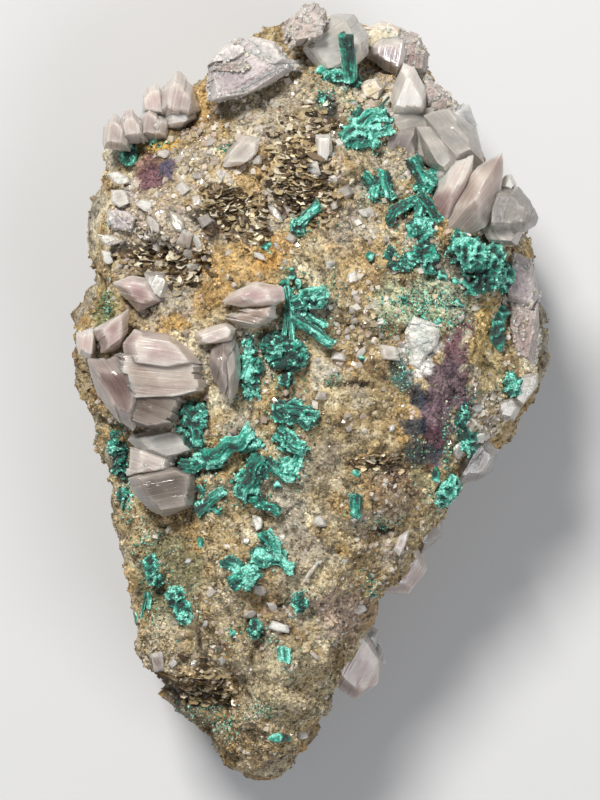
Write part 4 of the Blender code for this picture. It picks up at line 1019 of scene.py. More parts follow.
# Each tint: the body's colour, the width of a page, how ragged the ends of the pages are, how far
# one page stands proud of the next, the finish (0 cloudy, 1 clear, 2 frosted), how white its
# veils and painted highlights are, and the crumbs on each square millimetre of its faces.
TINTS = {
    "mauve": ("a68b89", 0.6, 0.35, 0.06, 0, 0.9, 0),
    "plum": ("7f6863", 0.55, 0.4, 0.08, 0, 0.5, 0),
    "dusk": ("6d5c57", 0.6, 0.3, 0.07, 0, 0.5, 0),
    "slab": ("9c8679", 0.4, 0.9, 0.08, 0, 0.8, 0),
    "umber": ("67574b", 0.4, 0.9, 0.1, 0, 0.4, 0),
    "brown": ("5a4e45", 0.8, 0.3, 0.05, 0, 0.45, 0),
    "pink": ("b19391", 0.6, 0.35, 0.06, 0, 1, 0),
    "rose": ("a99894", 0.55, 0.4, 0.08, 0, 0.85, 0.4),
    "lilac": ("bdb1b6", 0.5, 0.2, 0.03, 0, 1, 0),
    "tan": ("a38e84", 0.45, 0.25, 0.07, 0, 0.8, 0),
    "clear": ("d2d4cf", 1.2, 0.1, 0.03, 1, 0.9, 0),
    "petal": ("85817b", 0.5, 0.2, 0.07, 1, 0.6, 0),
    "smoke": ("a39896", 1, 0.15, 0.03, 1, 0.8, 0),
    "mist": ("c4c1ba", 0.9, 0.15, 0.03, 1, 1, 0),
    "grey": ("a39e97", 0.8, 0.2, 0.03, 0, 0.9, 0),
    "sage": ("93957f", 0.8, 0.2, 0.04, 0, 0.8, 0),
    "white": ("d4d1cd", 0.8, 0.25, 0.04, 0, 1, 0),
    "frost": ("a3979a", 0.9, 0.3, 0.06, 2, 0.6, 2.5),
    "rime": ("bcb4b4", 0.9, 0.3, 0.06, 2, 0.8, 1.5),
    "chalk": ("c8cfc8", 0.5, 0.25, 0.16, 2, 0.8, 1),
    "cream": ("c4b48e", 0.6, 0.5, 0.12, 2, 0.8, 2.5),
    "crumb": ("937f7a", 0.6, 0.5, 0.12, 2, 0.5, 12),
}
CRUMB_SIZES = (0.12, 0.42)
CRUMBED = 0.7
# Places round an outline, how much each is smoothed by its neighbours, and places over the roof
# and the keel. Then the widths of pages against each other, where their sections lie across
# them, how far they end short, and how uneven the faces are.
PLATE_AROUND = 110
EDGE_SMOOTHING = 0.2
ROOF_PLACES = 26
KEEL_PLACES = 10
PAGE_WIDTHS = (0.3, 1.0)
PAGE_RINGS = (0.03, 0.18, 0.82, 0.97)
PAGE_SHORT = 0.7
UNEVEN = (0.05, 0.02)
# The white of the veils and of the painted highlights, and the most of it. The painted highlight
# at the rim, how far in it reaches, how strong its painted glow is further in and how far, then
# the painted glow at the tips, the painted reflections on facets, the painted highlights along
# their edges and their width, and the size and white of the veils in clouds.
VEIL_AND_HIGHLIGHT_WHITE = colour("e2dad0")
VEIL_AND_HIGHLIGHT_MOST = 0.85
RIM_HIGHLIGHT = 0.8
RIM_WHITE = 0.16
RIM_GLOW = 0.45
RIM_REACH = 0.9
TIP_GLOW = 0.3
FACET_REFLECTIONS = (-0.25, 0.35)
FACET_EDGE_HIGHLIGHT = 0.6
EDGE_WIDTH = 0.28
CLOUD_SIZE = 2.7
CLOUD_WHITE = 0.5


def edge_places(corners, count):
    """About this many places round a closed outline, each side with its share, slightly smoothed."""
    corners = np.array(corners)
    run = np.roll(corners, -1, axis=0) - corners
    length = np.linalg.norm(run, axis=1)
    share = np.maximum(2, np.round(count * length / length.sum())).astype(int)
    which = np.repeat(np.arange(len(corners)), share)
    part = np.concatenate([np.arange(number) / number for number in share])
    places = corners[which] + run[which] * part[:, None]
    before = EDGE_SMOOTHING * np.roll(places, 1, axis=0)
    after = EDGE_SMOOTHING * np.roll(places, -1, axis=0)
    return (1.0 - 2.0 * EDGE_SMOOTHING) * places + before + after


def ends_across(along, across, places):
    """Where lines at these places across a closed outline enter it and leave it."""
    next_along = np.roll(along, -1)
    next_across = np.roll(across, -1)
    place = places[:, None]
    meets = (across - place) * (next_across - place) <= 0.0
    run = np.where(next_across == across, 1e-9, next_across - across)
    meeting = along + (next_along - along) * held((place - across) / run)
    enters = np.where(meets, meeting, np.inf).min(axis=1)
    leaves = np.where(meets, meeting, -np.inf).max(axis=1)
    return enters, leaves


def plate(
    base, tint, grain, bend, lift, slope_u, slope_v, thickness, inset, corners, draw, fineness=PLATE_AROUND
):
    """The shapes of one crystal, made of thin pages that stand side by side, and of its crumbs.

    The edge is turned so that the grain runs along the first axis, and straightened by its bend.
    Across the grain it is cut into pages. Each has four sections, which run over the roof from
    where the edge begins to where it ends, and back under the keel. The roof and the keel slope
    from the edge to the flat faces. Each page ends a little short, and stands a little high or
    low, so that creases run along the grain. The rim is whiter, milky and with a painted highlight
    and glow; the creases get painted glints, one end of each page a painted glow, each facet a
    lighter or darker painted reflection, and the edges between facets painted highlights.
    """
    code, page, ragged, proud, finish, white, crumbs = TINTS[tint]
    edge = edge_places(corners, fineness)
    middle = edge.mean(axis=0)
    turn = math.radians(grain)
    axes = np.array([(math.cos(turn), math.sin(turn)), (-math.sin(turn), math.cos(turn))])
    along, across = axes @ (edge - middle).T
    across = across - bend * along**2
    low, high = across.min() + 0.02, across.max() - 0.02
    count = max(4, int(round((high - low) / page)))
    widths = draw.uniform(*PAGE_WIDTHS, count) ** 1.5
    bounds = low + (high - low) * np.append(0.0, np.cumsum(widths) / widths.sum())
    far = np.tile(PAGE_RINGS, count)
    number = np.repeat(np.arange(count), len(PAGE_RINGS))
    places = bounds[number] + far * np.diff(bounds)[number]
    enters, leaves = ends_across(along, across, places)
    chord = np.minimum(1.0, (leaves - enters) / 3.0)
    short = ragged * PAGE_SHORT * draw.uniform(0.0, 1.0, (2, count))[:, number] ** 1.5 * chord
    enters = enters + short[0]
    leaves = leaves - short[1]
    roof = (1.0 - np.cos(math.pi * np.arange(ROOF_PLACES) / (ROOF_PLACES - 1))) / 2.0
    keel = 1.0 - (np.arange(KEEL_PLACES) + 1.0) / (KEEL_PLACES + 1.0)
    part = np.concatenate([roof, keel])
    sign = np.concatenate([[0.0], np.ones(ROOF_PLACES - 2), [0.0], -np.ones(KEEL_PLACES)])
    run = enters[:, None] + (leaves - enters)[:, None] * part
    from_ends = np.minimum(run - enters[:, None], leaves[:, None] - run)
    from_sides = np.minimum(places - low, high - places)[:, None] + 0.03
    from_tail = np.repeat(part[None], len(places), axis=0)
    slope_reach = inset * np.array([np.ptp(along), high - low]) / 2.0
    facets = np.stack(np.broadcast_arrays(
        (run - enters[:, None]) / slope_reach[0], (leaves[:, None] - run) / slope_reach[0],
        (places - low)[:, None] / slope_reach[1], (high - places)[:, None] / slope_reach[1],
        np.ones(run.shape),
    ))
    rise = held(facets.min(axis=0) + 0.01)
    height = sign * thickness / 2.0 * rise
    step = draw.uniform(-1.0, 0.4, count)[number] * proud
    step = step + (far - 0.5) * draw.uniform(-0.5, 1.0, count)[number] * proud
    height = height + np.maximum(sign, 0.0) * rise * step[:, None]
    spot_across = places[:, None] + bend * run**2
    rings, around = run.shape
    lay = np.column_stack([np.repeat(places, around), run.ravel()])
    offset = np.stack([run, spot_across], axis=-1).reshape(-1, 2) @ axes
    tall = height.ravel()
    ends = np.array([offset[:around].mean(axis=0), offset[-around:].mean(axis=0)])
    offset = np.concatenate([offset, ends])
    tall = np.append(tall, [0.0, 0.0])
    seed = int(draw.integers(1, 9999))
    spot = middle + offset
    where = np.column_stack([spot, tall])
    broad = value_noise(where, 1.6, seed)
    fine = value_noise(where, 0.5, seed + 1)
    cloud = value_noise(where, CLOUD_SIZE, seed + 2)
    z = base + lift + tall + offset @ np.array([slope_u, slope_v])
    points = np.column_stack([spot, z + UNEVEN[0] * broad + UNEVEN[1] * fine])
    from_edge = np.minimum(from_ends, from_sides).ravel()
    # Painted light, mixed into the milky veils: a highlight and glow at the rim, glints on the creases, a
    # glow towards one end of each page, a lighter or darker reflection on each facet of the roof and
    # highlights along the facets' edges. The clouds and broad noise are the calcite's own veils.
    rim = np.exp(-from_edge / RIM_WHITE) + RIM_GLOW * np.exp(-from_edge / RIM_REACH)
    crease_glint = np.repeat((far > 0.9) * draw.uniform(-0.5, 0.5, count)[number], around)
    page_tone = np.repeat(draw.uniform(-0.06, 0.06, count)[number], around)
    tip = TIP_GLOW * held(from_tail.ravel() * 1.6 - 0.6)
    facet_reflection = draw.uniform(*FACET_REFLECTIONS, len(facets))[facets.argmin(axis=0)]
    nearest = np.sort(facets, axis=0)
    ridge = FACET_EDGE_HIGHLIGHT * np.exp(-(nearest[1] - nearest[0]) * slope_reach.min() / EDGE_WIDTH)
    facet_light = ((facet_reflection + ridge) * (sign >= 0.0)).ravel()
    veil_and_highlight = RIM_HIGHLIGHT * rim + np.maximum(crease_glint, 0.0) + page_tone + tip + facet_light
    veil_and_highlight = np.append(veil_and_highlight, [RIM_HIGHLIGHT, RIM_HIGHLIGHT])
    veil_and_highlight = veil_and_highlight + 0.3 * held(broad) + CLOUD_WHITE * held(cloud) + 0.08 * fine
    veil_and_highlight = held(veil_and_highlight) * white * VEIL_AND_HIGHLIGHT_MOST
    body = colour(code) * draw.uniform(0.9, 1.1) * (0.95 + 0.12 * broad + 0.22 * cloud)[:, None]
    paint = held(toward(body, VEIL_AND_HIGHLIGHT_WHITE, veil_and_highlight))
    lay = np.concatenate([lay, [lay[0], lay[-1]]])
    shapes = [(placed(points), ringed_faces(rings, around), paint, finish, lay)]
    spots = int(crumbs * np.ptp(along) * (high - low) * CRUMBED)
    if spots:
        chosen = draw.choice(np.flatnonzero(tall > 0.0), spots)
        size = sized(spots, 1.6, CRUMB_SIZES, draw)
        tone = tones(PALE_TONES, spots, draw) * 0.5 + paint[chosen] * 0.5
        corners, (four,), shades = strewn(RHOMB, RHOMB_FACES, points[chosen], size, tone, draw)
        faces = (four, np.empty((0, 3), dtype=int))
        shapes.append((corners, faces, shades, 2, np.zeros((len(corners), 2))))
    return shapes


def joined_piece(name, parts, finishes, sharp):
    """One piece of several shapes: points, faces and paint each, and a finish and a lay if any."""
    quads = []
    caps = []
    first = 0
    for points, (four, three), *_ in parts:
        quads.append(four + first)
        caps.append(three + first)
        first += len(points)
    points, paint = (np.concatenate([part[which] for part in parts]) for which in (0, 2))
    faces = (np.concatenate(quads), np.concatenate(caps))
    wears = None
    lay = None
    if len(parts[0]) > 3:
        wears = [np.full(len(part[1][kind]), part[3]) for kind in (0, 1) for part in parts]
        wears = np.concatenate(wears)
        lay = np.concatenate([part[4] for part in parts])
    return new_piece(name, points, faces, paint, finishes, sharp, wears, lay)


def ground_finder(node):
    """A function that gives the height of a CAD node, in millimetres, seen at a place (u, v)."""
    tree = BVHTree.FromPolygons(
        [vertex.co for vertex in node.data.vertices],
        [face.vertices for face in node.data.polygons],
    )
    eye = Vector((-CENTRE_U, -CENTRE_V, FACE_HEIGHT + VIEW_DISTANCE)) * MM

    def ground(u, v):
        """The height where the line from the eye through (u, v) on the face first meets the node."""
        aim = Vector((u - CENTRE_U, v - CENTRE_V, FACE_HEIGHT)) * MM
        place = tree.ray_cast(eye, (aim - eye).normalized())[0]
        if place is None:
            raise ValueError(f"no rock at {u}, {v}")
        return place.z / MM

    return ground


def lamellae(node, shader, lines, low, high):
    """Draws the fine layers of a crystal: noise drawn out along them, in pale and shaded lines.

    The attributes across and along hold each place's millimetres over and along the layers.
    """
    across = attribute(node, "across")
    along = attribute(node, "along")
    over = node("Math", "MULTIPLY", _0=across, _1=lines).outputs[0]
    down = node("Math", "MULTIPLY", _0=along, _1=0.35).outputs[0]
    layer = noise(node, node("CombineXYZ", X=over, Y=down).outputs[0], 1.0, 3.0, 0.6)
    cloud = noise(node, node("TexCoord").outputs["Object"], 900.0, 5.0, 0.6)
    shares = (
        ranged(node, layer, 0.3, 0.52, low, 1.0),
        ranged(node, layer, 0.54, 0.74, 1.0, high),
        ranged(node, cloud, 0.5, 0.75, 1.0, high),
    )
    shaded(node, shader, shares, raised(node, (layer, 0.00006), (cloud, 0.00008)))


# Cloudy calcite is milky and satiny, with fine white layers and veils.
cloudy_calcite, shader, node = new_finish(
    "cloudy_calcite", Roughness=0.15, IOR=1.6, Transmission_Weight=0.32, Subsurface_Weight=0.8,
    Subsurface_Radius=(0.0016, 0.0013, 0.0012), Subsurface_Scale=1.0,
)
lamellae(node, shader, 5.0, 0.88, 1.22)

# Clear calcite is glass with a faint grey absorption, and veils and painted highlights where the
# paint is white.
clear_calcite, shader, node = new_finish(
    "clear_calcite", Roughness=0.07, IOR=1.58, Transmission_Weight=0.6
)
lamellae(node, shader, 2.0, 0.95, 1.3)
depth = node("VolumeAbsorption", Color=(0.84, 0.80, 0.78, 1.0), Density=30.0)
node(clear_calcite.node_tree.nodes["Material Output"], Volume=depth.outputs[0])

# Frosted calcite is a sugary crust of tiny crystals, with no gloss of its own.
frosted_calcite, shader, node = new_finish(
    "frosted_calcite", Roughness=0.5, Subsurface_Weight=0.6,
    Subsurface_Radius=(0.0008, 0.0006, 0.0006), Subsurface_Scale=1.0,
)
sandy(node, shader, 0.00030, 0.16, 0.12)

calcites = (cloudy_calcite, clear_calcite, frosted_calcite)
ground = ground_finder(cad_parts["matrix_rock"])
for number, (cluster, (root, crystals)) in enumerate(CLUSTERS.items()):
    draw = np.random.default_rng(600 + number)
    base = ground(*root)
    shapes = [shape for crystal in crystals for shape in plate(base, *crystal, draw)]
    piece = joined_piece(cluster + "_calcite", shapes, calcites, sharp=24.0)
    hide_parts("calcite_" + cluster)


# Single small crystals of calcite on the rock: leaves, rhombs and blocks, stuck where they grew.
# Each has a form, a tint, u, v, half length, half width and turn in degrees.
CRYSTAL_FORMS = {
    "leaf": ((-1, 0), (-0.4, 0.8), (0.3, 0.9), (1, 0.1), (0.4, -0.8), (-0.4, -0.9)),
    "rhomb": ((-1, -0.6), (-0.5, 1), (1, 0.6), (0.5, -1)),
    "block": ((-1, -0.9), (-0.9, 1), (0.9, 0.9), (1, -0.9)),
    "pencil": ((-1, -0.8), (-1, 0.8), (0.4, 0.9), (1, 0), (0.4, -0.9)),
    "round": ((-1, -0.3), (-0.7, 0.7), (0.2, 1), (0.9, 0.5), (0.9, -0.5), (0.1, -1)),
}
SMALL_CRYSTALS = (
    ("leaf", "grey", -5.5, 24.8, 2.5, 1.5, 35),
    ("rhomb", "clear", -4.4, 24, 0.8, 0.6, 20),
    ("round", "mist", -10.3, 22.4, 0.6, 0.5, 0),
    ("rhomb", "grey", -11.9, 21.1, 0.9, 0.75, 60),
    ("block", "tan", -10.4, 20, 0.65, 0.6, 10),
    ("round", "white", -15.4, 19.4, 1.2, 0.8, -20),
    ("leaf", "sage", -12.3, 17.6, 1.5, 0.9, -60),
    ("leaf", "tan", -14.7, 17.6, 1.1, 0.55, -60),
    ("block", "tan", -11.4, 16.2, 1, 0.8, 70),
    ("leaf", "sage", -10.3, 15.7, 1.4, 0.45, -72),
    ("round", "mist", -11.1, 14.6, 0.65, 0.6, 0),
    ("block", "white", -10.6, 13.2, 0.9, 0.5, 10),
    ("block", "smoke", -9.4, 18, 1, 0.8, 30),
    ("leaf", "tan", -2.4, 18.6, 1.3, 0.5, -48),
    ("leaf", "sage", -0.6, 18.6, 0.85, 0.45, 35),
    ("leaf", "white", -4.1, 14.4, 0.8, 0.38, -35),
    ("leaf", "pink", -2.3, 15.4, 0.85, 0.45, -50),
    ("rhomb", "mist", -0.9, 16.2, 0.7, 0.5, -20),
    ("rhomb", "white", 1.3, 23.1, 0.95, 0.7, -60),
    ("block", "grey", 8.9, 4.7, 1.1, 0.85, 0),
    ("rhomb", "white", 5.2, 12.3, 0.7, 0.6, 30),
    ("rhomb", "mist", 5.2, 8.9, 0.42, 0.36, 10),
    ("rhomb", "white", 5.2, 7.3, 0.38, 0.32, 40),
    ("block", "pink", 3.9, 4.4, 0.8, 0.45, -10),
    ("leaf", "tan", 6.1, 4.7, 0.85, 0.4, 60),
    ("block", "mist", 2.2, 0.4, 0.65, 0.5, -10),
    ("rhomb", "mist", 4.9, -2.9, 0.55, 0.4, 40),
    ("block", "white", 9.2, -2.8, 0.38, 0.35, 20),
    ("round", "grey", 1.9, -12.2, 0.8, 0.7, 0),
    ("leaf", "mist", -8.9, -19.3, 0.8, 0.45, 14),
    ("round", "tan", -4, -19.1, 0.8, 0.65, 0),
    ("block", "white", -2, -22.7, 1.2, 0.55, -12),
    ("round", "mist", -5, -21.4, 0.85, 0.5, 20),
    ("rhomb", "white", -7.8, -26, 0.58, 0.45, 50),
    ("pencil", "mist", 1.5, -25.6, 0.65, 0.35, -50),
    ("block", "white", 0.1, -33.6, 0.6, 0.4, 20),
    ("block", "grey", 2.6, -28.4, 1.6, 0.7, 55),
    ("pencil", "pink", 10.2, -14.2, 1.3, 0.6, 60),
    ("rhomb", "white", 4.4, -16.2, 0.45, 0.38, 0),
    ("leaf", "cream", 1.3, -16.9, 1.9, 0.3, 55),
    ("rhomb", "tan", -14.2, -26.2, 1.5, 0.75, -65),
    ("rhomb", "white", -12.7, -26.4, 0.6, 0.4, 60),
    ("round", "grey", 5.7, -20.9, 1.1, 0.6, 10),
    ("round", "mist", -4.3, -12.4, 0.7, 0.6, 0),
    ("round", "white", -5.4, -14.1, 0.5, 0.45, 0),
    ("leaf", "tan", -9.5, -22.3, 0.55, 0.35, 60),
    ("rhomb", "tan", -2.7, -20.8, 0.85, 0.55, -60),
    ("leaf", "white", -11.2, -16.1, 0.5, 0.3, 20),
    ("round", "white", 17.6, -0.8, 0.65, 0.5, 0),
    ("rhomb", "white", 17.8, -3.9, 0.55, 0.4, 30),
    ("round", "tan", 15.9, -5.1, 1.1, 0.6, 80),
    ("block", "white", 5.4, 29.6, 0.6, 0.5, 20),
    ("rhomb", "mist", 3.4, 19.4, 0.6, 0.5, 40),
    ("round", "mist", 4.4, 20.8, 1.1, 0.8, 10),
    ("leaf", "grey", 6.4, 18.6, 0.8, 0.5, -30),
    ("block", "cream", 8.8, 30.2, 0.8, 0.7, 20),
    ("rhomb", "mist", 8.6, 28.8, 0.8, 0.6, -20),
    ("round", "tan", -13.6, 24.6, 0.8, 0.5, 0),
    ("leaf", "mist", -8.9, 25.8, 0.8, 0.5, 40),
    ("rhomb", "pink", -7.9, 22.6, 0.7, 0.5, -30),
)
SMALL_AROUND = 44
SMALL_DEEP = 1.5
SMALL_WEAR = (0.72, 1.18)
SMALL_TILT = 0.32
SLOPE_REACH = 0.6
SEAT_REACHES = (0.0, 0.5, 1.0, 1.5)


def seat(u, v):
    """The rock's height at a place, or where there is none, the highest height close round it."""
    for reach in SEAT_REACHES:
        ring = np.arange(8) * math.pi / 4.0
        height = front_heights(u + reach * np.cos(ring), v + reach * np.sin(ring)).max()
        if height > 0.0:
            return height
    raise ValueError(f"no rock near {u}, {v}")


def slope_at(u, v):
    """The rock's slope along u and along v there, from its heights a short way around."""
    east, north = SLOPE_REACH * np.array([(1.0, -1.0, 0.0, 0.0), (0.0, 0.0, 1.0, -1.0)])
    near = front_heights(u + east, v + north)
    near = np.where(near < 0.0, seat(u, v), near)
    rises = np.clip([near[0] - near[1], near[2] - near[3]], -1.0, 1.0)
    return rises / (2.0 * SLOPE_REACH)


# White and pinkish crusts that lie on the rock in thin wrinkled sheets, where the last calcite
# grew over it. Each has a tint and the corners (u, v) of its outline.
THIN_CRUSTS = (
    ("chalk", ((10.5, 7), (11.2, 8.2), (12.6, 7.8), (14.1, 7), (13.8, 5.6), (12.6, 4.4),
               (12, 2.8), (10.8, 3.4), (11, 5), (10.4, 6))),
    ("chalk", ((10.8, 7.6), (11.4, 8.4), (12.8, 8), (14, 7.4), (12.8, 7))),
    ("chalk", ((-19.4, 22.6), (-18.2, 22.9), (-17, 22.2), (-17, 21.6), (-18.6, 21.5))),
    ("grey", ((-18.9, 21), (-17.4, 21.1), (-16.9, 19.8), (-18, 19.2), (-18.9, 19.8))),
    ("frost", ((-19.3, 18.9), (-17.4, 19.2), (-16.3, 18.2), (-16.8, 17), (-18.6, 16.8), (-19.4, 17.8))),
    ("chalk", ((-20.3, 16.6), (-18.8, 16.4), (-17.9, 15.7), (-19.4, 15.3))),
    ("white", ((-19.9, 15), (-18.9, 14.9), (-18.6, 13.7), (-19.6, 13.5))),
    ("chalk", ((-4.9, -11.8), (-3.9, -11.6), (-3.5, -12.6), (-4.4, -13.2))),
    ("chalk", ((17.6, -3.4), (18.6, -3.2), (18.4, -4.3), (17.5, -4.3))),
)
small_draw = np.random.default_rng(650)
small_shapes = []
for tint, corners in THIN_CRUSTS:
    u, v = np.mean(corners, axis=0)
    small_shapes += plate(
        seat(u, v), tint, 20, 0.0, 0.45, *slope_at(u, v), 1.3, 0.2, corners, small_draw, fineness=90
    )
for form, tint, u, v, long_half, wide_half, turn in SMALL_CRYSTALS:
    angle = math.radians(turn)
    axes = np.array([(math.cos(angle), math.sin(angle)), (-math.sin(angle), math.cos(angle))])
    worn = small_draw.uniform(*SMALL_WEAR, (len(CRYSTAL_FORMS[form]), 1))
    corners = np.array(CRYSTAL_FORMS[form]) * worn * (long_half, wide_half) @ axes + (u, v)
    slopes = slope_at(u, v) + small_draw.uniform(-SMALL_TILT, SMALL_TILT, 2)
    small_shapes += plate(
        seat(u, v), tint, turn + 8, 0.0, 0.15, *slopes, wide_half * SMALL_DEEP, 0.35, corners,
        small_draw, fineness=SMALL_AROUND,
    )
small_crystals = joined_piece("small_crystals", small_shapes, calcites, sharp=24.0)


# Calcite spears on the sides: small groups of pointed crystals that grew out of the broken flanks.
# Each has a place on the rock (turn round the section in degrees, rise from foot to head), how
# far its crystals reach, and the seed of their spread.
SIDE_GROUPS = {
    "side_left_a": (204, 0.74, 3, 21),
    "side_left_b": (210, 0.36, 3, 22),
    "side_right_a": (-28, 0.66, 3, 23),
    "side_right_b": (-24, 0.44, 3.2, 24),
    "side_head": (-40, 0.93, 2.8, 25),
}
SIDE_CRYSTALS = 3
SIDE_REACHES = (0.9, 1.3)
SIDE_SPREAD = 0.75
SIDE_LEAN_UP = 0.6
SIDE_DEPTH = 1.2
SIDE_SPACING = 1.4
SPEAR_WIDTH = 3.2
SPEAR_HALVES = (0.5, 0.32)
SPEAR_SHOULDER = 0.52
SPEAR_AROUND = 48
SPEAR_RINGS = 26
SPEAR_STEPS = (0.03, 60.0)


def spear(root, axis, length, width, turned):
    """A flattened six-sided section carried from a point at the root, out to a shoulder, to a tip.

    The section is a hexagon: the radius at an angle is the distance to its nearest flat side.
    Layers make fine steps along it, and the shoulder is nearer the tip on every other corner.
    """
    axis = axis.normalized()
    side = axis.orthogonal().normalized()
    side.rotate(Matrix.Rotation(turned, 3, axis))
    other = np.array(axis.cross(side))
    side = np.array(side)
    angle = np.arange(SPEAR_AROUND) * 2.0 * math.pi / SPEAR_AROUND
    part = (np.arange(SPEAR_RINGS) + 0.5) / SPEAR_RINGS
    near_corner = np.abs((angle + math.pi / 6.0) % (math.pi / 3.0) - math.pi / 6.0)
    section = math.cos(math.pi / 6.0) / np.cos(math.pi / 6.0 - near_corner)
    shoulder = SPEAR_SHOULDER + 0.08 * np.cos(3.0 * angle)
    run = part[:, None]
    swell = np.where(run < shoulder, run / shoulder, (1.0 - run) / (1.0 - shoulder))
    radius = section * swell * (1.0 + SPEAR_STEPS[0] * np.sign(np.sin(run * SPEAR_STEPS[1])))
    wide = np.cos(angle) * radius * SPEAR_HALVES[0] * width
    flat = np.sin(angle) * radius * SPEAR_HALVES[1] * width
    points = (np.array(root) + np.array(axis) * length * part[:, None, None]
              + wide[..., None] * side + flat[..., None] * other)
    ends = np.array([root, root + axis * length])
    points = np.concatenate([points.reshape(-1, 3), ends])
    cloud = value_noise(points / MM, 0.9, 71) * 0.5 + 0.5
    paint = toward(colour(TINTS["clear"][0]), VEIL_AND_HIGHLIGHT_WHITE, cloud)
    lay = np.column_stack([flat.ravel(), np.repeat(part, SPEAR_AROUND) * length])
    lay = np.concatenate([lay, np.zeros((2, 2))])
    return points, ringed_faces(SPEAR_RINGS, SPEAR_AROUND), paint, 0, lay / MM


for group, (turn, rise, reach, seed) in SIDE_GROUPS.items():
    angles = np.radians([turn, turn])
    rises = np.array([rise, rise])
    foot = Vector(placed(matrix_points(angles, rises, skin=0.0))[0])
    outside = Vector(placed(matrix_points(angles, rises, skin=0.0, grow=reach))[0])
    out = (outside - foot).normalized()
    draw = np.random.default_rng(seed)
    shapes = []
    for number in range(SIDE_CRYSTALS):
        spread = Vector(draw.uniform(-SIDE_SPREAD, SIDE_SPREAD, 3))
        spread.z = abs(spread.z) * SIDE_LEAN_UP
        length = reach * draw.uniform(*SIDE_REACHES) * MM
        turned = draw.uniform(0.0, math.pi)
        start = foot - out * SIDE_DEPTH * MM + spread * SIDE_SPACING * MM
        shapes.append(spear(start, out + spread, length, SPEAR_WIDTH * MM, turned))
    piece = joined_piece(group + "_calcite", shapes, (cloudy_calcite,), sharp=28.0)
    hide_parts("calcite_" + group)
